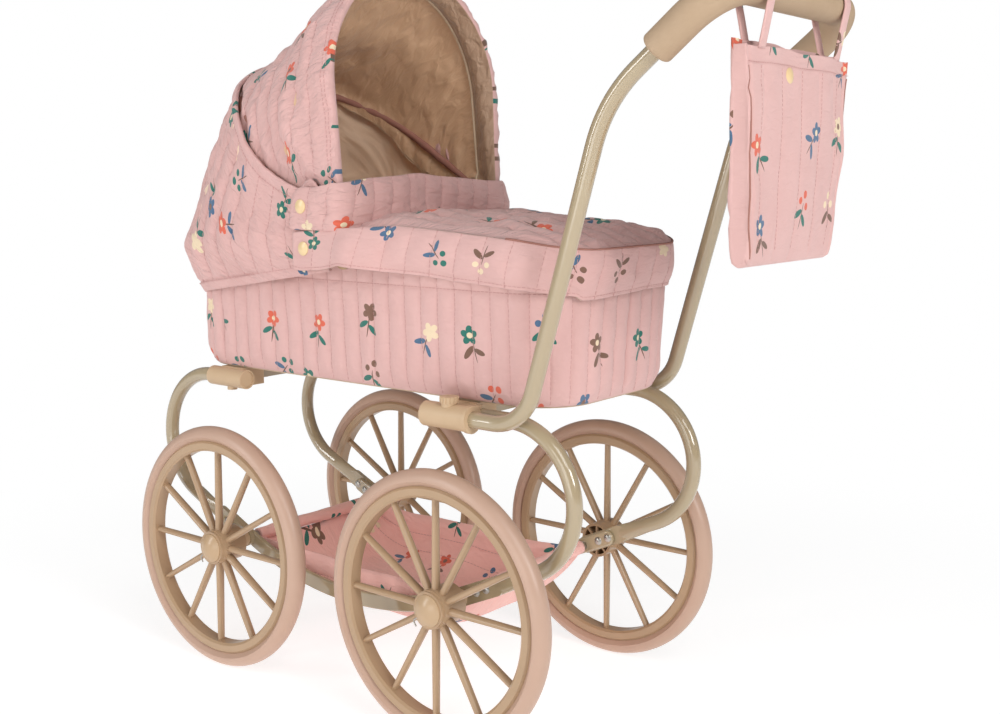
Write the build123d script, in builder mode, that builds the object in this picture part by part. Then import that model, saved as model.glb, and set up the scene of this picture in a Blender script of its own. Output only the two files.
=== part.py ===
"""Doll pram: spoked wheels, bent tube chassis, quilted bassinet with a folding hood, handle and bag.

Frame: +Z up, +X towards the push handle, -Y the left side for the child who pushes.
Pieces are modelled from a point on the floor midway between the axles. At the end they are
shifted along X so that the origin lies under the middle of the whole pram. Sizes are millimetres.
"""
import math
import os
from build123d import *

# Fits
FIT = 0.1                # between pieces that are fixed to each other
RUN = 0.05               # radial play of a turning part on its pin
GAP = 0.3                # between soft pieces and their neighbours

# Wheels
WHEEL_D = 240
WHEELBASE = 286
TRACK = 267
TYRE_W = 20
TYRE_H = 14
TYRE_SEAT_W = 12
RIM_W = 16
RIM_H = 10
RIM_EDGE = 2
SPOKES = 12
SPOKE_HUB_T = 6.4        # spoke thickness round the wheel, at the hub
SPOKE_HUB_W = 9          # and along the axle
SPOKE_RIM_T = 5.2
SPOKE_RIM_W = 7.4
HUB_D = 34
HUB_WALL = 2.6
HUB_IN = 20              # barrel reach inboard of the wheel's middle plane
HUB_OUT = 8              # barrel reach outboard of it
HUB_FACE_T = 3.5
HUB_RIBS = 8
HUB_RIB_T = 1.8
BOSS_D = 15              # tube round the axle inside the barrel
COLLAR_D = 32
COLLAR_H = 3
CAP_D = 28
CAP_DOME = 5.5
CAP_EDGE = 1.2
CAP_SPIGOT_D = 20
CAP_SPIGOT_H = 1.4
AXLE_D = 8
AXLE_END = 5             # axle reach outboard of the wheel's middle plane
CLIP_WIRE = 1.4
CLIP_START = 12          # clip's inner end, from the axle's centre
CLIP_REACH = 21
CLIP_HOOK = 6
CLIP_BEND = 2.5
CLIP_TURN = 215          # where the clip points, degrees round the wheel

# Chassis
TUBE_D = 14
TUBE_WALL = 1.3
TUBE_Z = 283
FRAME_Y = 98             # plane of the bent chassis tubes
FRAME_REACH = 262        # tube centreline, furthest from the middle between the axles
TUBE_END = 142           # where a chassis tube stops in its connector
STRIP_H = 17
STRIP_T = 5
STRIP_L = 42             # flattened stretch beyond the axle
FLATTEN_L = 34           # length over which the tube is pressed flat
RAIL_SAG = 31
RAIL_H = 15
RAIL_T = 5
RAIL_LAP = 36            # rail beyond the axle, riveted to the tube
RAIL_ROUND = 1.8
RIVET_D = 4
RIVET_HEAD_D = 8
RIVET_HEAD_H = 2
RIVET_STATIONS = (19, 31)

# Connectors and what they carry
SLEEVE_D = 19.4
SLEEVE_L = 52
SLEEVE_END = 139         # closed end of a front sleeve
SLEEVE_DISH = 1.2
SLEEVE_DISH_RIM = 1.6
SCREW_BOSS_D = 10
SCREW_BOSS_H = 2.4
HANDLE_Y = 115
HANDLE_SLEEVE_D = 22
HANDLE_SLEEVE_END = 117
HANDLE_COLLAR_D = 24
HANDLE_COLLAR_L = 4
REAR_SLEEVE_MOUTH = 166
REAR_SLEEVE_L = 40
LUG_L = 28               # saddle lug inboard of the chassis tube
LUG_W = 32
LUG_DROP = 8             # lug's underside below the tube's centreline
CROSS_FRONT_X = -162
CROSS_REAR_X = 143
CROSS_W = 20
CROSS_H = 14
CROSS_WALL = 1.5
CROSS_IN = 15            # depth of the bar in its lug
KNOB_D = 17
KNOB_H = 5.5
KNOB_FLUTES = 16
KNOB_FLUTE_D = 2
KNOB_SCREW_D = 5
KNOB_BOSS_D = 14
KNOB_SEAT = 12           # knob seat above the tube's centreline
KNOB_X = 143
KNOB_ROUND = 1

# Push handle
HANDLE_END = 122
KNEE_X = 223
ELBOW_X = 300
ELBOW_Z = 546
BAR_X = 400
BAR_Z = 627
KNEE_R = 42
ELBOW_R = 115
CORNER_R = 40
GRIP_D = 27
GRIP_START_X = 344
GRIP_ROUND = 3

# Bassinet
TUB_MID_X = 8
TUB_L = 486
TUB_W = 210
TUB_TAPER = 7            # inset of the outline just above the foot
TUB_FOOT = 6             # more inset at the very bottom
TUB_FOOT_H = 9
TUB_CORNER = 62
TUB_LIFT = 14            # bassinet's underside above the tube's centreline
TUB_H = 127
TUB_WALL = 8
TUB_FLOOR = 5
CHANNEL = 19.5           # pitch of the sewn channels
CHANNEL_BULGE = 1.4
BOARD_T = 3
SCREW_D = 4
SCREW_HEAD_D = 8
SCREW_HEAD_H = 1.6
SCREW_IN = 2             # screw depth in the board
SCREW_Y = 55
MATTRESS_H = 27
MATTRESS_DRAW = 7        # how far the mattress sides draw in at top and bottom
MATTRESS_CROWN = 24
MATTRESS_PLAY = 2

# Cover over the foot end
APRON_RISE = 24          # top edge at the head end, above the bassinet's rim
APRON_SLOPE = 3.7        # degrees down towards the handle
APRON_CROWN = 6
APRON_HANG = 32          # hem below the rim
APRON_SKIRT_T = 2
APRON_TOP_T = 5
APRON_CHANNELS = 9
APRON_BULGE = 1.6
TAB_ROOT_X = 78          # where the tab leaves the skirt
TAB_BEND_X = 24
TAB_END_X = -42
TAB_T = 2
TAB_HANG = 24            # tab's lower edge below the rim
TAB_RISE = 13            # its upper edge above the rim

# Upright flap across the hood's mouth
FLAP_X = 24
FLAP_BACK_X = -42
FLAP_T = 5
FLAP_RISE = 15           # lower edge above the bassinet's rim
FLAP_H = 48
FLAP_CORNER = 8

# Hood: every section stands in a plane that leans back by an angle from upright.
# OUT is half its width outside the bassinet's, FLAT half its level top, DROP its origin below the pivot
PIVOT_X = 8
PIVOT_RISE = 39          # pivot above the bassinet's rim
HOOD_T = 3
HOOD_SPLIT = 0.4         # degrees between the two panels at their seam
MOUTH_AHEAD = 7.5        # mouth edge ahead of the pivot
MOUTH_LEAN = 3.8
MOUTH_OUT = 17
MOUTH_TOP = 226
MOUTH_FLAT = 5
MOUTH_LOW = 15
FRONT_LEAN = 6           # the front bow stands just behind the mouth
FRONT_OUT = 17
FRONT_TOP = 226
FRONT_FLAT = 5
FRONT_LOW = 8.5
PUFF_LEAN = 28
PUFF_DROP = 27
PUFF_OUT = 16.5
PUFF_TOP = 220
PUFF_FLAT = 21
PUFF_LOW = 42
SEAM_LEAN = 48
SEAM_DROP = 42
SEAM_OUT = 13.5
SEAM_TOP = 262
SEAM_FLAT = 1
SEAM_LOW = 30
REAR_LEAN = 61
REAR_DROP = 35
REAR_OUT = 12.5
REAR_TOP = 251
REAR_FLAT = 12
REAR_LOW = 20
BULGE_LEAN = 87
BULGE_DROP = 50
BULGE_OUT = 12.6
BULGE_TOP = 264
BULGE_FLAT = 28
BULGE_LOW = 8
HEM_LEAN = 98.8
HEM_DROP = 62
HEM_OUT = 8.5
HEM_TOP = 252
HEM_FLAT = 30
HEM_LOW = 2
MID_LEAN = 58            # the middle bow stands near the seam
MID_TOP = 224
MID_FLAT = 10
BOW_D = 5
BOW_ROOM = 2.5           # between the front bow and the padding, at the crown
EYE_D = 14
EYE_LIP = 0.2            # eye thicker than the wire, on each face
STUD_D = 6
STUD_HEAD_D = 12
STUD_HEAD_T = 1.6
STUD_IN = 2.5            # rivet's reach inside the bassinet wall
BRACKET_W = 18           # flat strip that carries the stud above the rim
BRACKET_DROP = 52        # its rivet below the pivot

# Basket slung between the axles
BASKET_W = 168
BASKET_SHEET = 2.4
BASKET_SAG = 44
BASKET_HEM = 2           # hem below the axles in mid span
BASKET_PLAY = 0.3
BASKET_SKIN = 2.4

# Bag on the handle
BAG_TOP_LEFT = -92
BAG_TOP_RIGHT = 92
BAG_LOW_LEFT = -92
BAG_LOW_RIGHT = 60
BAG_DROP = 38            # bag's rim below the bar's centre
BAG_H = 168
BAG_T = 16
BAG_RIM_T = 13
BAG_CORNER = 5
BAG_WALL = 1.8
STRAP_W = 11
STRAP_T = 1.6
STRAPS_Y = (-68, 68)

# Press studs
SNAP_D = 13
SNAP_H = 2.4
SNAP_X = -26
FLAP_SNAP_RISE = 36      # above the bassinet's rim
APRON_SNAP_HANG = 3      # below it
BAG_SNAP_Y = -22
BAG_SNAP_DROP = 24

# Worked out from the driving dimensions
AXLE_Z = WHEEL_D / 2
HALF_BASE = WHEELBASE / 2
WHEEL_Y = TRACK / 2
RIM_SEAT_R = WHEEL_D / 2 - TYRE_H
RIM_IN_R = RIM_SEAT_R - RIM_H
BORE_R = AXLE_D / 2 + RUN
HUB_FRONT = HUB_OUT + COLLAR_H
TUBE_R = TUBE_D / 2
SOCKET_R = TUBE_R + FIT
RAIL_R = (HALF_BASE ** 2 + RAIL_SAG ** 2) / (2 * RAIL_SAG)
RAIL_SLOPE = math.asin(HALF_BASE / RAIL_R)          # rail and tube share this slope at the axle
SLOPE_COS, SLOPE_SIN = math.cos(RAIL_SLOPE), math.sin(RAIL_SLOPE)
BEND_R = (SLOPE_COS * (TUBE_Z - AXLE_Z) - SLOPE_SIN * (FRAME_REACH - HALF_BASE)) / (1 + SLOPE_COS - SLOPE_SIN)
BEND_X = FRAME_REACH - BEND_R
BEND_Z = TUBE_Z - BEND_R
RAIL_Y = FRAME_Y - STRIP_T / 2 - RAIL_T / 2
TUB_Z = TUBE_Z + TUB_LIFT
RIM_Z = TUB_Z + TUB_H
BOARD_Z = TUB_Z - BOARD_T - FIT
CROSS_Z = BOARD_Z - CROSS_H / 2
CROSS_REACH = FRAME_Y - LUG_L + CROSS_IN
LUG_TOP = BOARD_Z - GAP
LUG_H = LUG_TOP - TUBE_Z + LUG_DROP
APRON_EDGE_Z = RIM_Z + APRON_RISE
APRON_HEM_Z = RIM_Z - APRON_HANG
TAB_LOW_Z = RIM_Z - TAB_HANG
TAB_TOP_Z = RIM_Z + TAB_RISE
FLAP_Z = RIM_Z + FLAP_RISE
PIVOT_Z = RIM_Z + PIVOT_RISE
APRON_HEAD_X = FLAP_X + GAP
APRON_OUT = CHANNEL_BULGE + GAP + APRON_SKIRT_T      # cover's skirt outside the bassinet's outline
APRON_END_X = TUB_MID_X + TUB_L / 2 + APRON_OUT
APRON_W = TUB_W + 2 * APRON_OUT
APRON_CORNER = TUB_CORNER + APRON_OUT
FLAP_Y = TUB_W / 2 + MOUTH_OUT + GAP
FRONT_BOW_Y = TUB_W / 2 + FRONT_OUT - HOOD_T - GAP - BOW_D / 2
EYE_T = BOW_D + 2 * EYE_LIP
MID_BOW_Y = FRONT_BOW_Y - EYE_T - 2 * FIT
BOW_INSET = HOOD_T + BOW_ROOM + BOW_D / 2
BOW_FOOT = STUD_HEAD_D / 2 + FIT                     # wire starts here, from the pivot
BAG_Z = BAR_Z - BAG_DROP
SIDES = {"left": -1, "right": 1}
ENDS = {"front": -1, "rear": 1}
UP = Vector(0, 0, 1)

pieces = {}


def to_side(part, side):
    """A piece modelled on the left, for the given side."""
    return part if side < 0 else mirror(part, about=Plane.XZ)


def to_end(part, end):
    """A piece modelled at the rear, for the given end."""
    return part if end > 0 else mirror(part, about=Plane.YZ)


def both_sides(part):
    """A left piece and its mirror image as one group."""
    return Compound(children=[part, mirror(part, about=Plane.XZ)])


def along_strip(distance):
    """Point in the rear left tube's plane, this far from the axle along the flattened end."""
    return Vector(HALF_BASE + distance * SLOPE_COS, 0, AXLE_Z + distance * SLOPE_SIN)


strip_dir = Vector(SLOPE_COS, 0, SLOPE_SIN)
strip_plane = Plane(origin=along_strip(0), x_dir=strip_dir, z_dir=(0, -1, 0))

# Wheel, modelled about its own centre with the axle along Z and the outside up
with BuildPart() as spoke:
    with BuildSketch(Plane.YZ.offset(HUB_D / 2 - HUB_WALL / 2)):
        Ellipse(SPOKE_HUB_T / 2, SPOKE_HUB_W / 2)
    with BuildSketch(Plane.YZ.offset(RIM_IN_R + RIM_H / 2)):
        Ellipse(SPOKE_RIM_T / 2, SPOKE_RIM_W / 2)
    loft()

with BuildPart() as hub_rib:
    with Locations(((BOSS_D + HUB_D - HUB_WALL) / 4, 0, -HUB_IN)):
        Box(
            (HUB_D - HUB_WALL - BOSS_D + HUB_WALL) / 2,
            HUB_RIB_T,
            HUB_IN + HUB_OUT - HUB_FACE_T / 2,
            align=(Align.CENTER, Align.CENTER, Align.MIN),
        )

with BuildPart() as wheel:
    with BuildSketch(Plane.XZ):
        with BuildLine():
            Polyline(
                (RIM_IN_R, RIM_W / 2 - RIM_EDGE),
                (RIM_IN_R + RIM_EDGE, RIM_W / 2),
                (RIM_SEAT_R - RIM_EDGE, RIM_W / 2),
                (RIM_SEAT_R, TYRE_SEAT_W / 2),
                (RIM_SEAT_R, -TYRE_SEAT_W / 2),
                (RIM_SEAT_R - RIM_EDGE, -RIM_W / 2),
                (RIM_IN_R + RIM_EDGE, -RIM_W / 2),
                (RIM_IN_R, -RIM_W / 2 + RIM_EDGE),
                close=True,
            )
        make_face()
    revolve(axis=Axis.Z)
    with BuildSketch(Plane.XZ):
        with BuildLine():
            Polyline(
                (BORE_R, HUB_FRONT - CAP_SPIGOT_H - FIT),
                (CAP_SPIGOT_D / 2 + FIT, HUB_FRONT - CAP_SPIGOT_H - FIT),
                (CAP_SPIGOT_D / 2 + FIT, HUB_FRONT),
                (COLLAR_D / 2, HUB_FRONT),
                (COLLAR_D / 2, HUB_OUT),
                (HUB_D / 2, HUB_OUT),
                (HUB_D / 2, -HUB_IN),
                (HUB_D / 2 - HUB_WALL, -HUB_IN),
                (HUB_D / 2 - HUB_WALL, HUB_OUT - HUB_FACE_T),
                (BOSS_D / 2, HUB_OUT - HUB_FACE_T),
                (BOSS_D / 2, -HUB_IN),
                (BORE_R, -HUB_IN),
                close=True,
            )
        make_face()
    revolve(axis=Axis.Z)
    with PolarLocations(0, SPOKES):
        add(spoke.part)
    with PolarLocations(0, HUB_RIBS):
        add(hub_rib.part)
    with BuildSketch(Plane.XY.offset(HUB_FRONT)):
        with Locations(Location((0, 0), CLIP_TURN)):
            with Locations((CLIP_START - FIT, 0)):
                Rectangle(COLLAR_D, CLIP_WIRE + FIT, align=(Align.MIN, Align.CENTER))
    extrude(amount=-CLIP_WIRE - FIT, mode=Mode.SUBTRACT)

with BuildPart() as tyre:
    with BuildSketch(Plane.XZ):
        with BuildLine():
            Polyline(
                (RIM_SEAT_R + FIT, TYRE_SEAT_W / 2),
                (RIM_SEAT_R + FIT, -TYRE_SEAT_W / 2),
                (RIM_SEAT_R + TYRE_H - TYRE_W / 2, -TYRE_W / 2),
            )
            ThreePointArc(
                (RIM_SEAT_R + TYRE_H - TYRE_W / 2, -TYRE_W / 2),
                (WHEEL_D / 2, 0),
                (RIM_SEAT_R + TYRE_H - TYRE_W / 2, TYRE_W / 2),
            )
            Line(
                (RIM_SEAT_R + TYRE_H - TYRE_W / 2, TYRE_W / 2),
                (RIM_SEAT_R + FIT, TYRE_SEAT_W / 2),
            )
        make_face()
    revolve(axis=Axis.Z)

with BuildPart() as hub_cap:
    with BuildSketch(Plane.XZ):
        with BuildLine():
            Polyline(
                (0, HUB_FRONT + CAP_EDGE + CAP_DOME),
                (0, HUB_FRONT - CAP_SPIGOT_H),
                (CAP_SPIGOT_D / 2, HUB_FRONT - CAP_SPIGOT_H),
                (CAP_SPIGOT_D / 2, HUB_FRONT),
                (CAP_D / 2, HUB_FRONT),
                (CAP_D / 2, HUB_FRONT + CAP_EDGE),
            )
            TangentArc(
                (0, HUB_FRONT + CAP_EDGE + CAP_DOME),
                (CAP_D / 2, HUB_FRONT + CAP_EDGE),
                tangent=(1, 0),
            )
        make_face()
    revolve(axis=Axis.Z)

with BuildPart() as axle_clip:
    with BuildLine(Plane.XY.offset(HUB_FRONT - CLIP_WIRE / 2 - FIT / 2)) as clip_path:
        FilletPolyline((CLIP_START, 0), (CLIP_REACH, 0), (CLIP_REACH, CLIP_HOOK), radius=CLIP_BEND)
    with BuildSketch(Plane(origin=clip_path.line @ 0, z_dir=clip_path.line % 0)):
        Circle(CLIP_WIRE / 2)
    sweep(path=clip_path.line)

for end_name, end in ENDS.items():
    for side_name, side in SIDES.items():
        corner = f"{end_name}_{side_name}"
        hub_place = Location((end * HALF_BASE, side * WHEEL_Y, AXLE_Z), (-side * 90, 0, 0))
        pieces[f"wheel_{corner}"] = wheel.part.moved(hub_place)
        pieces[f"tyre_{corner}"] = tyre.part.moved(hub_place)
        pieces[f"hub_cap_{corner}"] = hub_cap.part.moved(hub_place)
        pieces[f"axle_clip_{corner}"] = axle_clip.part.rotate(Axis.Z, CLIP_TURN).moved(hub_place)

# Axles, and the spacers that hold each wheel off the chassis
with BuildPart() as axle:
    with Locations(Location((0, 0, AXLE_Z), (90, 0, 0))):
        Cylinder(AXLE_D / 2, TRACK + 2 * AXLE_END)

spacer_out = WHEEL_Y - HUB_IN - GAP
spacer_in = FRAME_Y + STRIP_T / 2
with BuildPart() as spacer:
    with BuildSketch(Plane.XZ.offset(spacer_in)):
        with Locations((HALF_BASE, AXLE_Z)):
            Circle(BOSS_D / 2)
            Circle(AXLE_D / 2 + FIT, mode=Mode.SUBTRACT)
    extrude(amount=spacer_out - spacer_in)

for end_name, end in ENDS.items():
    pieces[f"axle_{end_name}"] = axle.part.moved(Location((end * HALF_BASE, 0, 0)))
pieces["axle_spacers"] = Compound(
    children=[to_end(to_side(spacer.part, side), end) for side in SIDES.values() for end in ENDS.values()]
)

# Chassis tube: round under the bassinet, bent back and pressed flat at the axle
with BuildPart() as frame_tube:
    with BuildLine(Plane.XZ) as tube_path:
        tube_start = (BEND_X + BEND_R * SLOPE_SIN, BEND_Z - BEND_R * SLOPE_COS)
        flat_end = along_strip(STRIP_L + FLATTEN_L)
        Line((flat_end.X, flat_end.Z), tube_start)
        CenterArc(
            (BEND_X, BEND_Z), BEND_R, math.degrees(RAIL_SLOPE) - 90, 180 - math.degrees(RAIL_SLOPE)
        )
        Line((BEND_X, TUBE_Z), (TUBE_END, TUBE_Z))
    with BuildSketch(Plane(origin=tube_path.line @ 0, z_dir=tube_path.line % 0)):
        Circle(TUBE_R)
        Circle(TUBE_R - TUBE_WALL, mode=Mode.SUBTRACT)
    sweep(path=tube_path.line)
    with BuildSketch(Plane(origin=along_strip(STRIP_L), x_dir=(0, 1, 0), z_dir=strip_dir)):
        Ellipse(STRIP_T / 2, STRIP_H / 2)
    with BuildSketch(Plane(origin=flat_end, x_dir=(0, 1, 0), z_dir=strip_dir)):
        Circle(TUBE_R)
    loft()
    with BuildSketch(strip_plane):
        with Locations((STRIP_L / 2, 0)):
            SlotCenterToCenter(STRIP_L, STRIP_H)
    extrude(amount=STRIP_T / 2, both=True)
    with BuildSketch(strip_plane):
        Circle(AXLE_D / 2 + FIT)
        with Locations([(station, 0) for station in RIVET_STATIONS]):
            Circle(RIVET_D / 2 + FIT)
    extrude(amount=STRIP_T, both=True, mode=Mode.SUBTRACT)

# Lower rail: a flat bar that sags from axle to axle
rail_tip = along_strip(RAIL_LAP - RAIL_H / 2)
with BuildPart() as lower_rail:
    with BuildSketch(Plane.XZ):
        with BuildLine(mode=Mode.PRIVATE) as rail_path:
            Line((-rail_tip.X, rail_tip.Z), (-HALF_BASE, AXLE_Z))
            ThreePointArc((-HALF_BASE, AXLE_Z), (0, AXLE_Z - RAIL_SAG), (HALF_BASE, AXLE_Z))
            Line((HALF_BASE, AXLE_Z), (rail_tip.X, rail_tip.Z))
        SlotArc(rail_path.wire(), RAIL_H)
    extrude(amount=RAIL_T / 2, both=True)
    fillet(lower_rail.edges().group_by(Axis.Y)[0] + lower_rail.edges().group_by(Axis.Y)[-1], RAIL_ROUND)
    for end in ENDS.values():
        with BuildSketch(Plane.XZ):
            with Locations((end * HALF_BASE, AXLE_Z)):
                Circle(AXLE_D / 2 + FIT)
            for station in RIVET_STATIONS:
                with Locations((end * along_strip(station).X, along_strip(station).Z)):
                    Circle(RIVET_D / 2 + FIT)
        extrude(amount=RAIL_T, both=True, mode=Mode.SUBTRACT)

# Rivet through rail and tube end, modelled along Z
grip_l = RAIL_T + STRIP_T
with BuildPart() as rivet:
    with BuildSketch(Plane.XZ):
        with BuildLine():
            TangentArc((0, grip_l / 2 + RIVET_HEAD_H), (RIVET_HEAD_D / 2, grip_l / 2), tangent=(1, 0))
            Polyline(
                (RIVET_HEAD_D / 2, grip_l / 2),
                (RIVET_D / 2, grip_l / 2),
                (RIVET_D / 2, -grip_l / 2),
                (RIVET_HEAD_D / 2, -grip_l / 2),
            )
            TangentArc((0, -grip_l / 2 - RIVET_HEAD_H), (RIVET_HEAD_D / 2, -grip_l / 2), tangent=(1, 0))
            Line((0, -grip_l / 2 - RIVET_HEAD_H), (0, grip_l / 2 + RIVET_HEAD_H))
        make_face()
    revolve(axis=Axis.Z)

rivets = []
for end_name, end in ENDS.items():
    for side_name, side in SIDES.items():
        placed = to_end(frame_tube.part, end).moved(Location((0, side * FRAME_Y, 0)))
        pieces[f"frame_tube_{end_name}_{side_name}"] = placed
        for station in RIVET_STATIONS:
            spot = along_strip(station)
            middle_y = side * (RAIL_Y + FRAME_Y + STRIP_T / 2 - RAIL_T / 2) / 2
            rivets.append(rivet.part.moved(Location((end * spot.X, middle_y, spot.Z), (90, 0, 0))))
for side_name, side in SIDES.items():
    pieces[f"lower_rail_{side_name}"] = lower_rail.part.moved(Location((0, side * RAIL_Y, 0)))
pieces["frame_rivets"] = Compound(children=rivets)

# Front connector, left: a closed sleeve with a saddle for the cross bar
with BuildPart() as front_connector:
    with BuildSketch(Plane.YZ.offset(-SLEEVE_END)):
        with Locations((-FRAME_Y, TUBE_Z)):
            Circle(SLEEVE_D / 2)
    extrude(amount=-SLEEVE_L)
    with Locations((CROSS_FRONT_X, -FRAME_Y, LUG_TOP)):
        Box(LUG_W, LUG_L, LUG_H, align=(Align.CENTER, Align.MIN, Align.MAX))
    with Locations((CROSS_FRONT_X, -FRAME_Y, TUBE_Z)):
        Cylinder(
            SCREW_BOSS_D / 2, SLEEVE_D / 2 + SCREW_BOSS_H, align=(Align.CENTER, Align.CENTER, Align.MAX)
        )
    with BuildSketch(Plane.YZ.offset(-SLEEVE_END - SLEEVE_L)):
        with Locations((-FRAME_Y, TUBE_Z)):
            Circle(SOCKET_R)
    extrude(amount=SLEEVE_END + SLEEVE_L - TUBE_END + FIT, mode=Mode.SUBTRACT)
    with BuildSketch(Plane.YZ.offset(-SLEEVE_END)):
        with Locations((-FRAME_Y, TUBE_Z)):
            Circle(SLEEVE_D / 2 - SLEEVE_DISH_RIM)
    extrude(amount=-SLEEVE_DISH, mode=Mode.SUBTRACT)
    with Locations((CROSS_FRONT_X, -CROSS_REACH - FIT, CROSS_Z - CROSS_H / 2 - FIT)):
        Box(
            CROSS_W + 2 * FIT, LUG_L, LUG_H, align=(Align.CENTER, Align.MIN, Align.MIN), mode=Mode.SUBTRACT
        )

# Rear connector, left: sockets for the chassis tube and the handle, a saddle and the knob's seat
with BuildPart() as rear_connector:
    with BuildSketch(Plane.YZ.offset(HANDLE_SLEEVE_END)):
        with Locations((-HANDLE_Y, TUBE_Z)):
            Circle(HANDLE_SLEEVE_D / 2)
    extrude(amount=SLEEVE_L)
    with BuildSketch(Plane.YZ.offset(HANDLE_SLEEVE_END + SLEEVE_L - HANDLE_COLLAR_L)):
        with Locations((-HANDLE_Y, TUBE_Z)):
            Circle(HANDLE_COLLAR_D / 2)
    extrude(amount=HANDLE_COLLAR_L)
    with BuildSketch(Plane.YZ.offset(REAR_SLEEVE_MOUTH)):
        with Locations((-FRAME_Y, TUBE_Z)):
            Circle(SLEEVE_D / 2)
    extrude(amount=-REAR_SLEEVE_L)
    with Locations((CROSS_REAR_X, -FRAME_Y, LUG_TOP)):
        Box(LUG_W, LUG_L, LUG_H, align=(Align.CENTER, Align.MIN, Align.MAX))
    with Locations((KNOB_X, -HANDLE_Y, TUBE_Z)):
        Cylinder(KNOB_BOSS_D / 2, KNOB_SEAT, align=(Align.CENTER, Align.CENTER, Align.MIN))
    with BuildSketch(Plane.YZ.offset(HANDLE_SLEEVE_END + SLEEVE_L)):
        with Locations((-HANDLE_Y, TUBE_Z)):
            Circle(SOCKET_R)
    extrude(amount=HANDLE_END - HANDLE_SLEEVE_END - SLEEVE_L - FIT, mode=Mode.SUBTRACT)
    with BuildSketch(Plane.YZ.offset(HANDLE_SLEEVE_END + SLEEVE_L)):
        with Locations((-FRAME_Y, TUBE_Z)):
            Circle(SOCKET_R)
    extrude(amount=TUBE_END - HANDLE_SLEEVE_END - SLEEVE_L - FIT, mode=Mode.SUBTRACT)
    with Locations((KNOB_X, -HANDLE_Y, TUBE_Z)):
        Cylinder(
            KNOB_SCREW_D / 2 + RUN,
            KNOB_SEAT,
            align=(Align.CENTER, Align.CENTER, Align.MIN),
            mode=Mode.SUBTRACT,
        )
    with Locations((CROSS_REAR_X, -CROSS_REACH - FIT, CROSS_Z - CROSS_H / 2 - FIT)):
        Box(
            CROSS_W + 2 * FIT, LUG_L, LUG_H, align=(Align.CENTER, Align.MIN, Align.MIN), mode=Mode.SUBTRACT
        )

# Fluted thumb screw that clamps the handle in its socket
with BuildPart() as clamp_knob:
    with BuildSketch(Plane.XY.offset(TUBE_Z + KNOB_SEAT + FIT)):
        with Locations((KNOB_X, -HANDLE_Y)):
            Circle(KNOB_D / 2)
            with PolarLocations(KNOB_D / 2, KNOB_FLUTES):
                Circle(KNOB_FLUTE_D / 2, mode=Mode.SUBTRACT)
    extrude(amount=KNOB_H)
    chamfer(clamp_knob.faces().sort_by(Axis.Z)[-1].edges(), KNOB_ROUND / 2)
    with Locations((KNOB_X, -HANDLE_Y, TUBE_Z + TUBE_R + FIT)):
        Cylinder(KNOB_SCREW_D / 2, KNOB_SEAT - TUBE_R, align=(Align.CENTER, Align.CENTER, Align.MIN))

for side_name, side in SIDES.items():
    pieces[f"connector_front_{side_name}"] = to_side(front_connector.part, side)
    pieces[f"connector_rear_{side_name}"] = to_side(rear_connector.part, side)
    pieces[f"clamp_knob_{side_name}"] = to_side(clamp_knob.part, side)

# Cross bars, board and the screws that hold it down
with BuildPart() as cross_bar:
    with BuildSketch(Plane.XZ):
        with Locations((0, CROSS_Z)):
            Rectangle(CROSS_W, CROSS_H)
            Rectangle(CROSS_W - 2 * CROSS_WALL, CROSS_H - 2 * CROSS_WALL, mode=Mode.SUBTRACT)
    extrude(amount=CROSS_REACH, both=True)
    with Locations((0, SCREW_Y, CROSS_Z), (0, -SCREW_Y, CROSS_Z)):
        Cylinder(SCREW_D / 2 + FIT, CROSS_H + CROSS_WALL, mode=Mode.SUBTRACT)
pieces["cross_bar_front"] = cross_bar.part.moved(Location((CROSS_FRONT_X, 0, 0)))
pieces["cross_bar_rear"] = cross_bar.part.moved(Location((CROSS_REAR_X, 0, 0)))

screw_spots = [(x, y) for x in (CROSS_FRONT_X, CROSS_REAR_X) for y in (-SCREW_Y, SCREW_Y)]
board_inset = TUB_TAPER + TUB_FOOT
with BuildPart() as base_board:
    with BuildSketch(Plane.XY.offset(BOARD_Z)):
        with Locations((TUB_MID_X, 0)):
            RectangleRounded(TUB_L - 2 * board_inset, TUB_W - 2 * board_inset, TUB_CORNER - board_inset)
    extrude(amount=BOARD_T)
    with BuildSketch(Plane.XY.offset(BOARD_Z)):
        with Locations(screw_spots):
            Circle(SCREW_D / 2 + FIT)
    extrude(amount=SCREW_IN + FIT, mode=Mode.SUBTRACT)
pieces["base_board"] = base_board.part

with BuildPart() as board_screws:
    with BuildSketch(Plane.XY.offset(BOARD_Z - CROSS_H)):
        with Locations(screw_spots):
            Circle(SCREW_HEAD_D / 2)
    extrude(amount=-SCREW_HEAD_H)
    with BuildSketch(Plane.XY.offset(BOARD_Z - CROSS_H)):
        with Locations(screw_spots):
            Circle(SCREW_D / 2)
    extrude(amount=CROSS_H + SCREW_IN)
pieces["board_screws"] = board_screws.part

# Push handle: one tube from socket to socket, with a foam grip over the top
handle_route = [
    (HANDLE_END, -HANDLE_Y, TUBE_Z),
    (KNEE_X, -HANDLE_Y, TUBE_Z),
    (ELBOW_X, -HANDLE_Y, ELBOW_Z),
    (BAR_X, -HANDLE_Y, BAR_Z),
    (BAR_X, HANDLE_Y, BAR_Z),
    (ELBOW_X, HANDLE_Y, ELBOW_Z),
    (KNEE_X, HANDLE_Y, TUBE_Z),
    (HANDLE_END, HANDLE_Y, TUBE_Z),
]
handle_bends = [KNEE_R, ELBOW_R, CORNER_R, CORNER_R, ELBOW_R, KNEE_R]
with BuildPart() as handle_tube:
    with BuildLine() as handle_path:
        FilletPolyline(*handle_route, radius=handle_bends)
    with BuildSketch(Plane(origin=handle_path.line @ 0, z_dir=handle_path.line % 0)):
        Circle(TUBE_R)
        Circle(TUBE_R - TUBE_WALL, mode=Mode.SUBTRACT)
    sweep(path=handle_path.line)
pieces["handle_tube"] = handle_tube.part

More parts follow.
